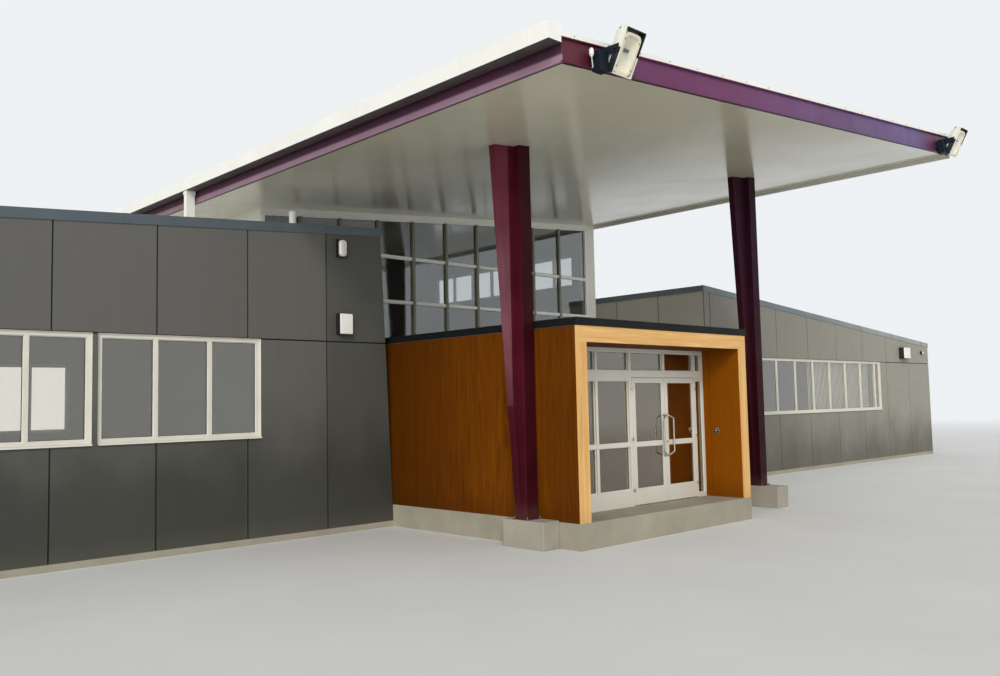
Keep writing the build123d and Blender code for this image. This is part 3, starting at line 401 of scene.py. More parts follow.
def wall_lining(name, axis, outer, side):
    """Plaster with a dark dado, and a membrane on the side that carries the cladding; the plaster is
    darkened as painted shade of the rooms, less in the foyer.
    """
    finish = Finish(name)
    clouds = finish.noise(0.8, 4.0)
    # Painted shade: the plaster is dark, standing for the shade in the rooms, less so in the foyer.
    room_shade_plaster = ("5a5545", "66604f") if name.startswith("lining_foyer") else ("433f34", "4d483c")
    finish.paint(finish.mingle(clouds, *room_shade_plaster))
    finish.over(finish.axes[2] < dado_top, "3d3628")
    finish.over((finish.axes[axis] - outer) * side > -0.002, "191a1a")
    return finish.feel(clouds, 0.6, 0.8, finish.noise(70.0, 3.0), 0.0006)


def soffit_board(name, code):
    """Glossy ceiling boards with faint joints and soft blotches; a painted reflection lightens the back
    left and painted shade darkens the right.
    """
    finish = Finish(name)
    x, y, z = finish.axes
    finish.paint(finish.mingle(finish.noise(0.5, 4.0), shade(code, 0.92), shade(code, 1.06)))
    finish.over(finish.noise(70.0, 2.0).span(0.45, 0.8, 0.0, 0.06), shade(code, 0.6))
    # Painted reflection of the foyer's side wall at the back left.
    finish.over(y.ease(1.5, 6.5) * x.ease(2.5, -0.8) * 0.8, "fbf8ea")
    # Painted shade towards the right.
    finish.over(x.ease(2.5, 6.5, 0.0, 0.55), shade(code, 0.78))
    joints = x.line(1.2, 0.010, 0.3) | y.line(2.4, 0.010, 0.2)
    finish.over(joints * 0.16, shade(code, 0.5))
    finish.set("Coat Weight", 0.3)
    finish.set("Coat Roughness", 0.12)
    return finish.feel(finish.noise(1.3, 4.0), 0.15, 0.24, finish.noise(1.4, 2.0, 0.4), 0.0012)


def fascia_steel(name):
    """Painted channel: purple in front and maroon near the ends; at the side a dark band of painted shadow
    under the gutter above a mauve band of painted light.
    """
    finish = Finish(name)
    x, y, z = finish.axes
    along = x + (finish.noise(0.9, 3.0) - 0.5) * 0.25
    clouds = finish.noise(1.1, 4.0)
    finish.paint(finish.mingle(clouds, "5e2650", "6b2f5c"))
    finish.over(along.span(0.5, 6.6, 0.0, 0.85), finish.mingle(clouds, "554377", "624f86"))
    ends = along.ease(-2.05, -1.75, 1.0, 0.0) | along.ease(6.8, 7.9, 0.0, 0.85)
    finish.over(ends, finish.mingle(clouds, "4e1526", "601c30"))
    # At the side: painted shadow under the gutter in the upper band, and painted light in the mauve lower
    # band.
    mauve = finish.mingle(clouds, "98788a", "a68697")
    dark = finish.mingle(clouds, "442536", "522b3f")
    finish.over((x < fascia_side) * (y > -2.20), finish.blend(z.ease(5.835, 5.875), mauve, dark))
    finish.streak("3b1a31", 0.14, 0.55)
    finish.set("Specular IOR Level", 0.3)
    return finish.feel(finish.noise(2.6, 5.0, 0.6), 0.34, 0.5, finish.noise(110.0, 2.0), 0.0002)


def column_steel(name):
    """Maroon painted column: painted reflection turns the haunch side mauve, and painted shade darkens its
    foot, its nose and the whole right column.
    """
    finish = Finish(name)
    x, y, z = finish.axes
    clouds = finish.noise(2.0, 4.0)
    # Painted reflection on the haunch side: mauve in the middle, maroon higher up, and painted shade at
    # its foot.
    high = finish.mingle(clouds, "662a39", "763645")
    middle = finish.mingle(clouds, "754450", "83515c")
    low = finish.mingle(clouds, "370612", "420a18")
    haunch = finish.blend(z.ease(1.4, 3.2, 1.0, 0.0), finish.blend(z.ease(3.9, 5.2), middle, high), low)
    finish.paint(finish.mingle(clouds, "480d1b", "561424"))
    # Painted shade towards the foot.
    finish.over(z.ease(1.2, 3.4, 0.8, 0.0), low)
    finish.over((y > column_haunch) * (x < column_side), haunch)
    # Painted shade on the nose.
    finish.over(y < column_nose, finish.mingle(clouds, "30060f", "3b0a15"))
    # Painted shade over the whole right column.
    right_column_shade = finish.blend(z.ease(2.6, 5.2, 0.0, 0.8), finish.mingle(clouds, "22050f", "2c0a16"), "2b1428")
    finish.over((x > 3.0) * 0.8, right_column_shade)
    finish.streak("240810", 0.18, 0.55, 9, 0.4)
    finish.soil("6b5148", 0.3, 0.55, 0.2, 5.0)
    finish.set("Specular IOR Level", 0.12)
    return finish.feel(finish.noise(3.0, 4.0), 0.5, 0.66, finish.noise(120.0, 2.0), 0.0002)


def gutter_steel(name):
    """White gutter whose underside is dark grey as painted shade."""
    finish = coated(name, "f1f0e8", 0.4, 0.03, 1.5, 110.0, streaks=0.08)
    # Painted shade: the underside is dark grey, standing for the shade under the gutter.
    stains_and_shade = finish.mingle(finish.noise(2.2, 4.0), "4a4644", "5c5754")
    return finish.over(finish.axes[2] < gutter_low + 0.0015, stains_and_shade)


def glazing_steel(name):
    """White glazing frame whose uprights are olive grey below its head, as painted shade."""
    finish = coated(name, "faf8ef", 0.38, 0.03, 3.0, 260.0, 0.0001, streaks=0.05, splash=0.12)
    x, y, z = finish.axes
    # Painted shade: the uprights below the head are olive grey.
    olive = finish.mingle(finish.noise(2.0, 4.0), "7c7a69", "888674")
    last = foyer_mullion + 8.5 * foyer_pitch
    upright = x.line(foyer_pitch, foyer_bar, foyer_mullion) * (x < last)
    return finish.over(upright * (z < x * canopy_rise + (soffit(0) - foyer_beam)), olive)


def coping_steel(name):
    """Dark slate coping on the left wing, paler grey towards the right wing's far end."""
    finish = coated(name, "525d63", streaks=0.25, metallic=0.2)
    x = finish.axes[0]
    clouds = finish.noise(1.6, 4.0)
    grey = finish.mingle(clouds, "5f6a70", "6d787c")
    pale = finish.mingle(clouds, "8d938f", "999e99")
    return finish.over(x > 4.0, finish.blend(x.ease(13.0, 22.0), grey, pale))


def floodlight_case(name):
    """White lamp housing whose right side and upper rim are dark."""
    finish = Finish(name)
    x, y, z = finish.axes
    masks = []
    for place in floodlight_places:
        aside = x - place.x
        rise = (y - place.y) * lamp_up.y + (z - place.z) * lamp_up.z
        right_side = (aside > 0.130) * (rise > -0.02)
        upper = (aside > -0.1685) * (rise > 0.215)
        lower_left = (aside < -0.1685) * (rise < 0.03)
        near = finish.math("ABSOLUTE", aside) < 0.5
        masks.append(near * (right_side | upper | lower_left))
    clouds = finish.noise(4.0, 4.0)
    finish.paint(finish.mingle(clouds, "e6e3d6", "f2f0e6"))
    finish.over(masks[0] | masks[1], finish.mingle(clouds, "14181f", "1f252d"))
    return finish.feel(clouds, 0.28, 0.42, finish.noise(160.0, 2.0), 0.0001)


def slat_fabric(name):
    """Matt white slat with a fine upright texture."""
    finish = Finish(name)
    fibres = finish.noise(1.0, 4.0, 0.65, (260, 260, 40))
    finish.paint(finish.mingle(finish.noise(1.4, 4.0), "f0eee6", "faf9f4"))
    finish.over(fibres.span(0.4, 0.75, 0.0, 0.22), "d5d2c8")
    return finish.feel(fibres, 0.7, 0.9, fibres, 0.0004)


def brushed_steel(name, code):
    """Brushed stainless steel with fine lines and finger marks."""
    finish = Finish(name, 1.0)
    lines = finish.noise(1.0, 3.0, 0.6, (420, 420, 14))
    finish.paint(finish.mingle(lines, shade(code, 0.82), shade(code, 1.08)))
    finish.set("Roughness", finish.noise(9.0, 3.0).span(0.35, 0.7, 0.22, 0.44))
    return finish.relief(lines, 0.0001)


# Middles of the floodlights' glass sides, and the axes of their tilted faces
lamp_tilt = math.radians(28)
lamp_out = Vector((0, -math.cos(lamp_tilt), -math.sin(lamp_tilt)))
lamp_up = Vector((0, -math.sin(lamp_tilt), math.cos(lamp_tilt)))
floodlight_places = [Vector((x, -2.486, soffit(x) + 0.150)) for x in (-1.780, 8.150)]

# Walls: the pieces, and which side carries the cladding, as axis, position and sign
walls = (
    ("left_front_wall right_front_wall", 1, 4.391, -1),
    ("foyer_front_wall foyer_front_beam", 1, 6.602, -1),
    ("link_wall", 1, 8.620, -1),
    ("left_rear_wall right_rear_wall foyer_rear_wall", 1, 13.180, 1),
    ("left_end_wall", 0, -12.870, -1),
    ("foyer_left_wall", 0, -1.297, -1),
    ("left_return_wall", 0, -1.0, -1),
    ("foyer_right_wall", 0, 8.265, 1),
    ("right_return_wall", 0, 9.863, -1),
    ("right_end_wall", 0, 23.903, 1))


def dress(names, finish):
    """Give carried-over pieces their finish."""
    for name in names.split():
        if not nodes[name].material_slots:
            nodes[name].data.materials.append(finish.material)
        for slot in nodes[name].material_slots:
            slot.material = finish.material


for names, axis, outer, side in walls:
    for name in names.split():
        dress(name, wall_lining("lining_" + name, axis, outer, side))

# Finishes, each with the carried-over pieces that have it
finishes = {}
for finish, names in (
        (slab_concrete("concrete", "a39d8c"), "floor_slab"),
        (concrete("pad_concrete", "a8a295"), "column_pads"),
        # The second colour of each cladding is its painted shade at the foot.
        (cladding("dark_cladding", "5e5d59", "3a3b35", 1.444, -1.338, shaded=-1.338), "left_panels"),
        (cladding("light_cladding", "938f84", "5a574c", 1.760, 9.843, low=-0.1, high=1.9,
                  fade=(10.0, 21.0)), "right_panels"),
        (cladding("cream_cladding", "fffcf0", "efe9d4", 1.47, 6.6), "foyer_panels"),
        (coated("slate_coping", "525d63", streaks=0.25, metallic=0.25), ""),
        (coping_steel("coping_steel"), "wing_copings"),
        (coated("grey_coping", "7c8484", streaks=0.2, metallic=0.2), ""),
        (coated("dark_coping", "111113", 0.6, 0.12, 2.0, streaks=0.2, gloss=0.2), "porch_coping"),
        (coated("roof_membrane", "c9ccc9", 0.7, 0.12, 0.7, 60.0, 0.0008, streaks=0.2), "wing_roofs"),
        (coated("roof_sheet", "8d9193", 0.42, 0.10, 0.7, 60.0, 0.0003, streaks=0.25, metallic=0.4),
         "canopy_roof"),
        (soffit_board("soffit_board", "dad6bf"), "canopy_soffit"),
        (fascia_steel("fascia_steel"), "canopy_fascia"),
        (column_steel("column_steel"), "columns"),
        (gutter_steel("gutter_steel"), "gutter"),
        (coated("white_metal", "efeee4", 0.4, 0.035, 1.5, 110.0, streaks=0.10),
         "barge_flashing verge_flashing downpipe vent_pipe foyer_corner_post"),
        (coated("white_aluminium", "d9d6ca", 0.38, 0.04, 3.0, 260.0, 0.0001, streaks=0.06, splash=0.12),
         "window_frames side_window_frame screen_frame screen_transom left_door right_door"),
        (glazing_steel("glazing_steel"), "glazing_frame"),
        (plywood("plywood"), "porch_left_wall porch_right_wall"),
        (porch_board("porch_board"), "porch_roof"),
        (pale_timber("pale_timber"), "porch_portal"),
        (window_pane("wing_glass", "fdfbf3", 0.07), "window_glass"),
        (window_pane("foyer_glass", "e4e8e8", 0.08), "glazing_glass side_window_glass"),
        (window_pane("door_glass", "e8e4d4", 0.10), "screen_glass left_door_glass right_door_glass"),
        (window_pane("lamp_glass", "fcfbf6", 0.04), ""),
        (brushed_steel("steel", "b9b9b6"), "door_hinges left_door_handles right_door_handles"),
        (coated("lamp_white", "ecebe3", 0.3, 0.03, 4.0, 160.0, 0.0001, streaks=0.05), ""),
        (coated("lamp_cream", "e9e1c8", 0.3, 0.04, 5.0, 160.0, 0.0001, streaks=0.06), ""),
        (coated("lamp_grey", "efece2", 0.3, 0.10, 9.0, 160.0), ""),
        (floodlight_case("floodlight_case"), "floodlights"),
        (coated("navy_fitting", "101824", 0.45, 0.10, 4.0, 160.0, streaks=0.1, gloss=0.2),
         "floodlight_brackets"),
        (coated("dark_fitting", "1f1d1c", 0.4, 0.10, 6.0, 200.0), "wall_lamps door_button"),
        (coated("rubber", "171716", 0.65, 0.12, 9.0, 220.0), ""),
        (coated("galvanised", "8e9091", 0.42, 0.12, 14.0, 90.0, metallic=0.8), ""),
        (slat_fabric("slats"), "")):
    finishes[finish.name] = finish.material
    dress(names, finish)


class Form:
    """A mesh put together from straight sweeps, turned shapes and framed plates, in metres."""

    def __init__(self):
        self.mesh = bmesh.new()

    def ring(self, places):
        """New corners at some places."""
        return [self.mesh.verts.new(place) for place in places]

    def skin(self, rings, closed=False):
        """Join neighbouring rings of corners and close the ends; a ring of one corner is a tip."""
        pairs = list(zip(rings, rings[1:]))
        if closed:
            pairs.append((rings[-1], rings[0]))
        for first, second in pairs:
            count = max(len(first), len(second))
            for i in range(count):
                j = (i + 1) % count
                corners = (first[i % len(first)], first[j % len(first)],
                           second[j % len(second)], second[i % len(second)])
                corners = list(dict.fromkeys(corners))
                if len(corners) > 2:
                    self.mesh.faces.new(corners)
        if not closed:
            for ring in (rings[0][::-1], rings[-1]):
                if len(ring) > 1:
                    self.mesh.faces.new(ring)

    def sweep(self, section, start, end, across=(0, 1, 0), upward=(0, 0, 1)):
        """Sweep a closed section in a straight line between two places."""
        self.skin([self.ring(Vector(place) + Vector(across) * a + Vector(upward) * b for a, b in section)
                   for place in (start, end)])

    def block(self, low, high):
        """A straight-sided piece between two corners."""
        section = [(low[0], low[2]), (high[0], low[2]), (high[0], high[2]), (low[0], high[2])]
        self.sweep(section, (0, low[1], 0), (0, high[1], 0), (1, 0, 0), (0, 0, 1))

    def turn(self, centre, axis, profile, sides=12):
        """A turned shape from pairs of radius and height along an axis."""
        axis = Vector(axis).normalized()
        across = axis.orthogonal().normalized()
        other = axis.cross(across)
        rings = []
        for radius, height in profile:
            base = Vector(centre) + axis * height
            angles = [2 * math.pi * i / sides for i in range(sides if radius else 1)]
            rings.append(self.ring(base + (across * math.cos(angle) + other * math.sin(angle)) * radius
                                   for angle in angles))
        self.skin(rings)

    def plate(self, centre, upward, layers, open_middle=False):
        """A plate from layers of rounded outlines: half width, half height, corner, height."""
        across, upward = Vector((1, 0, 0)), Vector(upward)
        rings = []
        for half_width, half_height, corner, height in layers:
            base = Vector(centre) + across.cross(upward) * height
            rings.append(self.ring(base + across * a + upward * b
                                   for a, b in rounded(half_width, half_height, corner)))
        self.skin(rings, open_middle)

    def loop(self, outline, normal, inset, width, base, outer_top, inner_top):
        """A frame inside a flat outline, with a sloping face."""
        outer = inward(outline, normal, inset)
        inner = inward(outline, normal, inset + width)
        self.skin([self.ring(place + normal * height for place in places) for places, height in (
            (outer, base), (outer, outer_top), (inner, inner_top), (inner, base))], True)


def rounded(half_width, half_height, corner):
    """Points of a rounded rectangle about its middle."""
    steps = 4
    points = []
    for side, level, start in ((1, 1, 0), (-1, 1, 90), (-1, -1, 180), (1, -1, 270)):
        for i in range(steps + 1):
            angle = math.radians(start + 90 * i / steps)
            points.append((side * (half_width - corner) + corner * math.cos(angle),
                           level * (half_height - corner) + corner * math.sin(angle)))
    return points


def inward(outline, normal, distance):
    """The outline moved inwards by a distance."""
    moved = []
    count = len(outline)
    for i, point in enumerate(outline):
        before = normal.cross((point - outline[i - 1]).normalized())
        after = normal.cross((outline[(i + 1) % count] - point).normalized())
        moved.append(point + (before + after) * (distance / (1 + before.dot(after))))
    return moved


def round_edges(piece, width):
    """Round a piece's sharp edges a little."""
    edge = piece.modifiers.new("edge", "BEVEL")
    edge.width = width
    edge.segments = 2
    edge.limit_method = "ANGLE"
    edge.angle_limit = math.radians(40)


def put(name, form, finish, body="building", bevel=0.0):
    """Make a piece of a form, give it its finish and let it ride on a body."""
    bmesh.ops.recalc_face_normals(form.mesh, faces=form.mesh.faces)
    mesh = bpy.data.meshes.new(name)
    form.mesh.to_mesh(mesh)
    form.mesh.free()
    mesh.polygons.foreach_set("use_smooth", [True] * len(mesh.polygons))
    mesh.set_sharp_from_angle(angle=math.radians(35))
    mesh.materials.append(finishes[finish])
    piece = bpy.data.objects.new(name, mesh)
    bpy.context.scene.collection.objects.link(piece)
    if bevel:
        round_edges(piece, bevel)
    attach(piece, body)


def panes(node):
    """Each pane's two faces: an outline of its corners and the face's normal."""
    mesh = bmesh.new()
    mesh.from_mesh(nodes[node].data)
    bmesh.ops.remove_doubles(mesh, verts=mesh.verts, dist=0.0001)
    seen = set()
    faces = []
    for first in mesh.verts:
        if first in seen:
            continue
        seen.add(first)
        island = [first]
        for vertex in island:
            for edge in vertex.link_edges:
                other = edge.other_vert(vertex)
                if other not in seen:
                    seen.add(other)
                    island.append(other)
        spans = []
        for axis in range(3):
            values = [v.co[axis] for v in island]
            spans.append((max(values) - min(values), axis, min(values), max(values)))
        axis, low, high = min(spans)[1:]
        for place, sign in ((low, -1), (high, 1)):
            corners = [v.co.copy() for v in island if abs(v.co[axis] - place) < 0.001]
            middle = sum(corners, Vector()) / len(corners)
            normal = Vector([sign if i == axis else 0 for i in range(3)])
            across = (corners[0] - middle).normalized()
            other = normal.cross(across)
            corners.sort(key=lambda c: math.atan2((c - middle).dot(other), (c - middle).dot(across)))
            faces.append((corners, normal))
    mesh.free()
    return faces


def glaze(node, stem, body="building", finish="white_aluminium"):
    """Glazing beads and dark gaskets on both sides of every pane of a node."""
    bead = 0.014
    beads = Form()
    gaskets = Form()
    for outline, normal in panes(node):
        beads.loop(outline, normal, 0.0, bead, -0.001, 0.014, 0.009)
        gaskets.loop(outline, normal, bead - 0.001, 0.006, -0.001, 0.004, 0.003)
    put(stem + "_beads", beads, finish, body)
    put(stem + "_gaskets", gaskets, "rubber", body)


glaze("window_glass", "window")
glaze("glazing_glass", "foyer", finish="glazing_steel")
glaze("side_window_glass", "side_window")
glaze("screen_glass", "screen")
glaze("left_door_glass", "left_door", "left_leaf")
glaze("right_door_glass", "right_door", "right_leaf")


def turned(section, back):
    """A section of the front wall, or the same on the rear wall."""
    return [(mirror_sum - y if back else y, z) for y, z in section]


# Wing windows: sills that throw rain clear of the sheets, and linings round each opening
openings = [(-5.052 - 2.576 * i, -2.556 - 2.576 * i) for i in range(3)] + [(12.330, 19.918)]
sill_section = [(4.401, 1.6735), (4.337, 1.6625), (4.333, 1.6400), (4.336, 1.6400),
                (4.3395, 1.6600), (4.401, 1.6705)]
lining_front, lining_back, lining = 4.369, 4.401, 0.003
sills = Form()
linings = Form()
for left, right in openings:
    for back in (False, True):
        sills.sweep(turned(sill_section, back), (left, 0, 0), (right, 0, 0))
        near, far = sorted(y for y, z in turned([(lining_front, 0), (lining_back, 0)], back))
        for edge in (left, right - lining):
            linings.block((edge, near, sill_level + 0.014), (edge + lining, far, head_level))
        linings.block((left, near, head_level - lining), (right, far, head_level))
put("window_sills", sills, "white_aluminium")
put("window_linings", linings, "white_aluminium")

# Upright slats behind four lights of the right wing's window, on their head rail
slat_left, slat_right, slat_pitch = 15.440, 19.545, 0.0805
rail_section = [(4.600, 3.170), (4.640, 3.170), (4.640, 3.135), (4.632, 3.128), (4.608, 3.128),
                (4.600, 3.135)]
rail = Form()
rail.sweep(rail_section, (slat_left - 0.02, 0, 0), (slat_right + 0.02, 0, 0))
put("slat_rail", rail, "white_aluminium")
slats = Form()
slat_turn = math.radians(24)
for i in range(int((slat_right - slat_left) / slat_pitch)):
    middle = slat_left + slat_pitch * (i + 0.5)
    front_side = []
    back_side = []
    for step in range(-3, 4):
        along = 0.0445 * step / 3
        belly = 0.006 * (1 - (step / 3) ** 2)
        for side, depth in ((front_side, belly + 0.0005), (back_side, belly - 0.0005)):
            side.append((along * math.cos(slat_turn) + depth * math.sin(slat_turn),
                         along * math.sin(slat_turn) - depth * math.cos(slat_turn)))
    section = front_side + back_side[::-1]
    slats.sweep(section, (middle, 4.620, 1.700), (middle, 4.620, 3.126), (1, 0, 0), (0, 1, 0))
put("window_slats", slats, "slats")


def in_window(x, z):
    """Whether this place is in a window opening or close to one."""
    room = 0.03
    beside = any(left - room < x < right + room for left, right in openings)
    return beside and sill_level - room < z < head_level + room


def rivet(form, place, outward, radius=0.008):
    """A domed rivet on a sheet."""
    dome = [(radius, -0.001), (radius, 0.0008), (radius * 0.6, 0.0030), (0, 0.0036)]
    form.turn(place, outward, dome, 8)


def sheet_rivets(name, finish, left, sheet, top):
    """Rivets beside the upright joints and along the middle of a wing's front and rear sheets."""
    form = Form()
    margin = 0.045
    for y, outward in ((wing_front, (0, -1, 0)), (wing_rear, (0, 1, 0))):
        for i in range(8):
            first, second = left + sheet * i, left + sheet * (i + 1)
            for x in (first + margin, (first + second) / 2, second - margin):
                rows = [plinth_top + 0.050 + row * 0.59 for row in range(6)]
                rows = [z for z in rows if z < head_level - 0.03]
                rows += [head_level + 0.062 + row * 0.62 for row in range(3)]
                for z in rows:
                    if z < top(x) - 0.19 and not in_window(x, z):
                        rivet(form, (x, y, z), outward)
    put(name, form, finish)


sheet_rivets("left_sheet_rivets", "dark_cladding", -12.890, 1.444, left_coping)
sheet_rivets("right_sheet_rivets", "light_cladding", 10.105, 13.818 / 8, right_coping)

# Coping joint covers, each with its rivets
cover_face = 4.3555
cover_section = [(4.357, -0.150), (cover_face, -0.150), (cover_face, 0.0015), (4.571, 0.0015),
                 (4.571, -0.001), (4.358, -0.001)]
for name, finish, top, first, count in (("left_coping_covers", "slate_coping", left_coping, -11.9, 5),
                                        ("right_coping_covers", "grey_coping", right_coping, 11.3, 6)):
    covers = Form()
    for i in range(count):
        middle = first + 2.4 * i
        left, right = middle - 0.04, middle + 0.04
        for back in (False, True):
            covers.sweep(turned(cover_section, back), (left, 0, top(left)), (right, 0, top(right)))
            face = mirror_sum - cover_face if back else cover_face
            for x in (middle - 0.025, middle + 0.025):
                for drop in (0.035, 0.115):
                    rivet(covers, (x, face, top(x) - drop), (0, 1 if back else -1, 0), 0.005)
    put(name, covers, finish)
porch_covers = Form()
for middle in (1.50, 3.00):
    porch_covers.block((middle - 0.04, -0.0175, 3.203), (middle + 0.04, 0.104, 3.3185))
    for x in (middle - 0.025, middle + 0.025):
        for z in (3.225, 3.295):
            rivet(porch_covers, (x, -0.0175, z), (0, -1, 0), 0.005)
put("porch_coping_covers", porch_covers, "dark_coping", bevel=0.001)

# Ribs of the roof sheets, which run with the fall, screws of the flashings and sealant
ribs = Form()
rib_section = [(-0.020, -0.001), (-0.011, 0.0115), (0.011, 0.0115), (0.020, -0.001)]
left, right = canopy_left + 0.002, canopy_right - 0.002
for i in range(62):
    y = -1.970 + 0.25 * i
    ribs.sweep(rib_section, (left, y, deck_top(left)), (right, y, deck_top(right)))
put("canopy_roof_ribs", ribs, "roof_sheet")
wing_ribs = Form()
rib_section = [(-0.022, -0.001), (-0.012, 0.028), (0.012, 0.028), (0.022, -0.001)]
for i in range(29):
    y = 4.840 + 0.28 * i
    for left, right, top in ((-12.68, -0.50 if y < 6.5 else -1.310, left_coping),
                             (10.055 if y < 8.82 else 8.280, 23.71, right_coping)):
        wing_ribs.sweep(rib_section, (left, y, top(left) - 0.25), (right, y, top(right) - 0.25))
put("wing_roof_ribs", wing_ribs, "roof_membrane")
screws = Form()
screw_head = [(0.009, -0.001), (0.009, 0.0015), (0.006, 0.002), (0.006, 0.006), (0.004, 0.007),
              (0, 0.007)]
for i in range(19):
    x = -2.40 + 0.59 * i
    screws.turn((x, canopy_front, roof_top(x) + 0.026), (0, -1, 0), screw_head, 6)
for i in range(26):
    y = -1.90 + 0.60 * i
    screws.turn((canopy_right + 0.016, y, soffit(canopy_right) + 0.16), (1, 0, 0), screw_head, 6)
put("flashing_screws", screws, "galvanised")
sealant = Form()
strip = [(-0.009, -0.003), (0.009, -0.003), (0.009, 0.002), (-0.009, 0.002)]
left, right = -2.564, canopy_right - 0.002
sealant.sweep(strip, (left, -2.17, soffit(left)), (left, 13.454, soffit(left)), (1, 0, 0))
sealant.sweep(strip, (left, -2.171, soffit(left)), (right, -2.171, soffit(right)))
put("soffit_sealant", sealant, "rubber")

# Gutter: rolled lip, outer straps and bars across its open top; downpipe bands, vent pipe collars
gutter_side = -2.8105
strap_screw = [(0.006, 0), (0.005, 0.003), (0, 0.004)]
gutter_parts = Form()
gutter_parts.turn((-2.801, canopy_front + 0.001, gutter_top - 0.004), (0, 1, 0),
                  [(0.0085, 0.0), (0.0085, 15.714)], 10)
for i in range(15):
    y = -1.90 + 1.08 * i
    gutter_parts.block((gutter_side, y - 0.018, gutter_low + 0.002),
                       (gutter_side + 0.0017, y + 0.018, gutter_top - 0.012))
    gutter_parts.block((-2.803, y - 0.012, gutter_top - 0.006), (-2.612, y + 0.012, gutter_top - 0.003))
    gutter_parts.turn((gutter_side, y, gutter_low + 0.05), (-1, 0, 0), strap_screw, 8)
put("gutter_straps", gutter_parts, "white_metal")
pipe_corners = (-2.784, 6.560), (-2.634, 6.560), (-2.634, 6.670), (-2.784, 6.670)
bands = Form()
for low, outer_top, inner_top, wide in ((5.900, 5.965, 5.965, 0.010), (5.500, 5.530, 5.530, 0.003),
                                        (5.080, 5.110, 5.110, 0.003), (4.826, 4.840, 4.900, 0.045)):
    bands.loop([Vector((x, y, 0)) for x, y in pipe_corners], Vector((0, 0, 1)), -wide, wide,
               low, outer_top, inner_top)
put("downpipe_bands", bands, "white_metal", bevel=0.001)
vent_parts = Form()
for profile in ([(0.130, 4.892), (0.130, 4.912), (0.075, 4.950), (0.0605, 5.010), (0.0602, 4.892)],
                [(0.0602, 5.440), (0.066, 5.446), (0.066, 5.468), (0.060, 5.4705), (0.0565, 5.466),
                 (0.0565, 5.440)]):
    vent_parts.turn((-1.600, 5.000, 0), (0, 0, 1), profile, 28)
put("vent_collars", vent_parts, "white_metal")

# Columns: base plates with anchor bolts
column_parts = Form()
bolts = Form()
plate_low, plate_top = 0.4025, 0.415
for left in (-0.252, 6.211):
    column_parts.block((left - 0.040, 0.771, plate_low), (left + 0.248, 1.081, plate_top))
    for x in (left - 0.020, left + 0.238):
        for y in (0.790, 1.062):
            for profile, sides in (([(0.017, -0.001), (0.017, 0.002)], 16),
                                   ([(0.0125, 0.002), (0.0125, 0.011), (0.0105, 0.013)], 6),
                                   ([(0.007, 0.012), (0.007, 0.028), (0.005, 0.030)], 12)):
                bolts.turn((x, y, plate_top), (0, 0, 1), profile, sides)
put("column_plates", column_parts, "column_steel", bevel=0.002)
put("column_bolts", bolts, "galvanised")

# Wall lamps: white lights on dark bodies, and the lens of the sensor beside them
lights = Form()
for x, z, y, half_width, half_height, corner, rise in (
        (-1.054, 4.795, 4.301, 0.074, 0.140, 0.055, 0.045),
        (-1.021, 3.500, 4.251, 0.126, 0.172, 0.018, 0.012),
        (21.720, 3.5315, 4.201, 0.255, 0.182, 0.020, 0.012)):
    lights.plate((x, y, z), (0, 0, 1), [
        (half_width - rise * inset, half_height - rise * inset, corner * bend, height)
        for inset, bend, height in ((0, 1, -0.002), (0, 1, rise * 0.35), (0.15, 0.9, rise * 0.65),
                                    (0.5, 0.75, rise * 0.9), (1.1, 0.5, rise))])
put("lamp_lights", lights, "lamp_white")
lens = [(0.046, -0.002), (0.046, 0.004), (0.040, 0.016), (0.026, 0.026), (0.010, 0.030), (0, 0.031)]
sensor = Form()
sensor.turn((23.283, 4.301, 3.580), (0, -1, 0), lens, 24)
put("sensor_lens", sensor, "lamp_grey")

# Floodlights: rounded front frames, dished reflectors, panes, lamp holders, screws, bolts and fins
frames = Form()
reflectors = Form()
lamp_panes = Form()
holders = Form()
lamp_bolts = Form()
lid_screw = [(0.008, 0), (0.008, 0.002), (0.006, 0.004), (0, 0.0042)]
arm_bolt = [(0.019, -0.001), (0.019, 0.003), (0.013, 0.004), (0.013, 0.013), (0.010, 0.015)]
for place in floodlight_places:
    middle = place + Vector((-0.014, 0, 0)) - lamp_up * 0.020
    frames.plate(middle, lamp_up, (
        (0.148, 0.230, 0.080, -0.030), (0.148, 0.230, 0.080, -0.004), (0.142, 0.224, 0.075, 0.000),
        (0.110, 0.198, 0.050, -0.002), (0.104, 0.192, 0.045, -0.012), (0.104, 0.192, 0.045, -0.030)), True)
    reflectors.plate(middle, lamp_up, (
        (0.028, 0.078, 0.008, -0.062), (0.066, 0.146, 0.020, -0.056), (0.106, 0.194, 0.045, -0.024),
        (0.106, 0.194, 0.045, -0.020), (0.102, 0.190, 0.043, -0.020), (0.090, 0.178, 0.038, -0.036),
        (0.060, 0.140, 0.020, -0.052), (0.026, 0.076, 0.008, -0.058)))
    lamp_panes.plate(middle, lamp_up, ((0.105, 0.193, 0.044, -0.014), (0.105, 0.193, 0.044, -0.010)))
    holders.plate(place + lamp_up * 0.015 + Vector((-0.020, 0, 0)), lamp_up, (
        (0.034, 0.020, 0.010, -0.058), (0.034, 0.020, 0.010, -0.030), (0.028, 0.014, 0.008, -0.022)))
    for side in (-1, 1):
        for level in (-1, 1):
            corner = place + Vector((-0.014 + side * 0.126, 0, 0)) + lamp_up * (level * 0.150 - 0.020)
            lamp_bolts.turn(corner + lamp_out * -0.001, lamp_out, lid_screw, 10)
        arm_face = place.x + side * 0.182
        for back in (0.060, 0.190):
            lamp_bolts.turn((arm_face, place.y + back, place.z + 0.032), (side, 0, 0), arm_bolt)
put("floodlight_frames", frames, "lamp_cream")
put("floodlight_reflectors", reflectors, "lamp_grey")
put("floodlight_panes", lamp_panes, "lamp_glass")
put("floodlight_holders", holders, "dark_fitting")
put("floodlight_bolts", lamp_bolts, "navy_fitting")
fins = Form()
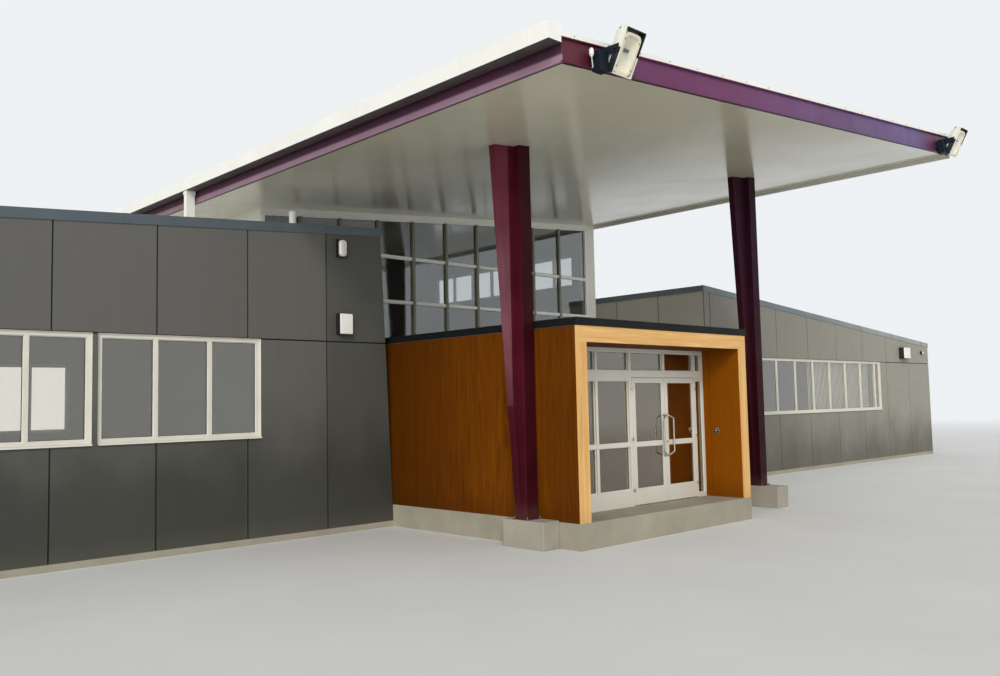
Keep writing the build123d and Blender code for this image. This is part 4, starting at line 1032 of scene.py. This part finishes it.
for place in floodlight_places:
    for i in range(9):
        x = place.x - 0.112 + 0.028 * i
        back = place + lamp_out * -0.169
        fins.sweep([(-0.160, -0.002), (0.160, -0.002), (0.150, 0.012), (-0.150, 0.012)],
                   (x - 0.002, back.y, back.z), (x + 0.002, back.y, back.z), lamp_up, -lamp_out)
put("floodlight_fins", fins, "dark_fitting")

# Light sensor on its bent strip beside the left floodlight's gear box
eye_dome = [(0.022, 0), (0.027, 0.006), (0.028, 0.050), (0.024, 0.072), (0.014, 0.084), (0, 0.088)]
eye = Form()
eye.turn((-2.170, -2.262, 5.918), (0, 0, 1), eye_dome, 20)
eye.turn((-2.170, -2.262, 5.904), (0, 0, 1), [(0.016, 0), (0.016, 0.016)], 16)
strip = [(-0.009, 0), (0.009, 0), (0.009, 0.003), (-0.009, 0.003)]
eye.sweep(strip, (-2.170, -2.262, 5.906), (-2.112, -2.229, 5.800), (1, 0, 0), (0, -1, 0))
eye.sweep(strip, (-2.112, -2.229, 5.801), (-2.112, -2.185, 5.797), (1, 0, 0), (0, 0, 1))
put("light_sensor", eye, "lamp_white")

# Entrance: threshold, handle roses, locks, hinge screws, meeting seal and button
left, right = 2.212, 3.990
threshold = Form()
threshold.sweep([(0.758, 0.3795), (0.766, 0.3870), (0.868, 0.3870), (0.876, 0.3795)],
                (left, 0, 0), (right, 0, 0))
for i in range(6):
    y = 0.775 + 0.016 * i
    threshold.sweep([(y, 0.3865), (y + 0.004, 0.3885), (y + 0.008, 0.3865)],
                    (left + 0.002, 0, 0), (right - 0.002, 0, 0))
put("door_threshold", threshold, "steel")
rose = [(0.026, -0.001), (0.026, 0.004), (0.022, 0.007), (0.0135, 0.008)]
cylinder = [(0.021, -0.001), (0.021, 0.006), (0.018, 0.009), (0.011, 0.009), (0.010, 0.007), (0, 0.007)]
low_screw = [(0.0042, -0.001), (0.0042, 0.0006), (0.0025, 0.0010), (0, 0.0010)]
for name, body, handle_x, hinge_x, side in (("left", "left_leaf", 3.0585, 2.213, 1),
                                            ("right", "right_leaf", 3.1435, 3.989, -1)):
    roses = Form()
    locks = Form()
    for face, outward in ((0.763, -1), (0.813, 1)):
        for z in (1.165, 1.845):
            roses.turn((handle_x, face, z), (0, outward, 0), rose, 24)
        locks.turn((handle_x, face, 1.395), (0, outward, 0), cylinder, 24)
        near, far = sorted((face + outward * 0.006, face + outward * 0.0078))
        locks.block((handle_x - 0.0015, near, 1.388), (handle_x + 0.0015, far, 1.402))
    put(name + "_handle_roses", roses, "steel", body)
    put(name + "_lock", locks, "steel", body)
    leaf_screws = Form()
    frame_screws = Form()
    for level in (0.230, 1.060, 1.890):
        low = floor_level + level
        for form, start, way in ((leaf_screws, low + 0.0453, side), (frame_screws, low, -side)):
            for along in (0.018, 0.036):
                for rise in (0.012, 0.033):
                    place = (hinge_x + way * along, 0.759, start + rise)
                    form.turn(place, (0, -1, 0), low_screw, 10)
    put(name + "_leaf_screws", leaf_screws, "galvanised", body)
    put(name + "_frame_screws", frame_screws, "galvanised")
seal = Form()
seal.sweep([(0.782, 0), (0.794, 0), (0.790, 0.0035), (0.786, 0.0035)],
           (3.096, 0, 0.396), (3.096, 0, 2.476), (0, 1, 0), (1, 0, 0))
put("meeting_seal", seal, "rubber", "left_leaf")
button = Form()
for x, sides, profile in ((4.2742, 28, [(0.052, 0), (0.052, 0.004), (0.049, 0.006), (0.040, 0.006)]),
                          (4.252, 20, [(0.022, -0.002), (0.022, 0.002), (0.014, 0.005), (0, 0.006)])):
    button.turn((x, 0.505, 1.539), (-1, 0, 0), profile, sides)
put("button_ring", button, "steel")

# Portal boards: plugs over their fixings
plugs = Form()
places = [(x, 0.60 + 0.55 * i) for x in (0.055, 0.175, 4.325, 4.435) for i in range(5)]
places += [(0.55 + 0.68 * i, z) for z in (3.020, 3.145) for i in range(6)]
plug = [(0.009, -0.001), (0.009, 0.0004), (0.007, 0.0008), (0, 0.0009)]
for x, z in places:
    plugs.turn((x, 0, z), (0, -1, 0), plug, 14)
put("portal_plugs", plugs, "pale_timber")

# Carried-over pieces with edges that are rounded a little, by the width of the rounding
for width, names in (
        (0.002, "left_door right_door canopy_fascia wing_copings screen_frame screen_transom"),
        (0.003, "floodlight_brackets porch_coping"),
        (0.004, "porch_portal downpipe foyer_corner_post"),
        (0.005, "columns"), (0.006, "floodlights"), (0.010, "column_pads wall_lamps")):
    for node in names.split():
        nodes[node].modifiers.new("weld", "WELD").merge_threshold = 0.0002
        round_edges(nodes[node], width)

# Floor that keeps the object's shadow and fades into the pale background
scene = bpy.context.scene
background = (0.86, 0.88, 0.90, 1.0)


def make_floor():
    """Pale floor round the object."""
    mesh = bpy.data.meshes.new("studio_floor")
    grid = bmesh.new()
    reach, middle = 260.0, 5.0
    bmesh.ops.create_grid(grid, x_segments=8, y_segments=8, size=reach)
    for vertex in grid.verts:
        vertex.co += Vector((middle, middle, 0.0))
    grid.to_mesh(mesh)
    grid.free()
    floor = bpy.data.objects.new("studio_floor", mesh)
    scene.collection.objects.link(floor)
    finish = Finish("studio_floor")
    x, y = (axis - middle for axis in finish.axes[:2])
    finish.paint(finish.mingle(finish.noise(0.4, 4.0), "dcdcda", "e2e2e0"))
    finish.set("Roughness", 0.9)
    finish.relief(finish.noise(30.0, 3.0), 0.001)
    distance = finish.math("POWER", x * x + y * y, 0.5)
    finish.cover(distance.ease(26.0, 75.0), finish.node("Emission", background))
    mesh.materials.append(finish.material)


make_floor()

# Soft light: an even pale surround and three broad lamps from the front left
world = bpy.data.worlds.new("studio")
scene.world = world
studio = Tree(world)
surround = studio.node("Background", (0.93, 0.96, 1.0, 1.0), 0.58)
seen = studio.node("Background", background, 1.0)
rays = studio.node("LightPath").outputs
shown = studio.math("MAXIMUM", rays["Is Camera Ray"], rays["Is Glossy Ray"]) | rays["Is Transmission Ray"]
mixed = studio.node("MixShader", shown, surround.outputs[0], seen.outputs[0])
studio.node("OutputWorld", mixed.outputs[0])


def add_sun(name, towards, strength, angle, tint):
    """A broad distant lamp that shines in a direction."""
    lamp = bpy.data.lights.new(name, "SUN")
    lamp.energy = strength
    lamp.angle = math.radians(angle)
    lamp.color = tint
    holder = bpy.data.objects.new(name, lamp)
    holder.rotation_euler = Vector(towards).to_track_quat("-Z", "Y").to_euler()
    scene.collection.objects.link(holder)


add_sun("key_lamp", (0.62, 0.72, -0.60), 1.25, 12.0, (1.0, 0.97, 0.92))
add_sun("side_lamp", (0.92, 0.30, -0.12), 0.7, 40.0, (1.0, 0.98, 0.95))
add_sun("fill_lamp", (0.70, 0.70, -0.14), 0.65, 30.0, (1.0, 0.98, 0.93))

# Camera
yaw, pitch, roll = (math.radians(a) for a in (camera_yaw, camera_pitch, camera_roll))
ahead = Vector((math.sin(yaw) * math.cos(pitch), math.cos(yaw) * math.cos(pitch), math.sin(pitch)))
level_right = Vector((math.cos(yaw), -math.sin(yaw), 0.0))
level_up = level_right.cross(ahead)
right = math.cos(roll) * level_right + math.sin(roll) * level_up
up = math.cos(roll) * level_up - math.sin(roll) * level_right
camera_data = bpy.data.cameras.new("camera")
camera_data.lens = camera_lens
camera_data.sensor_width = 36.0
camera_data.clip_end = 600.0
camera = bpy.data.objects.new("camera", camera_data)
turn = Matrix((right, up, -ahead)).transposed().to_4x4()
camera.matrix_world = Matrix.Translation(camera_place) @ turn
scene.collection.objects.link(camera)
scene.camera = camera

scene.view_settings.view_transform = "Standard"
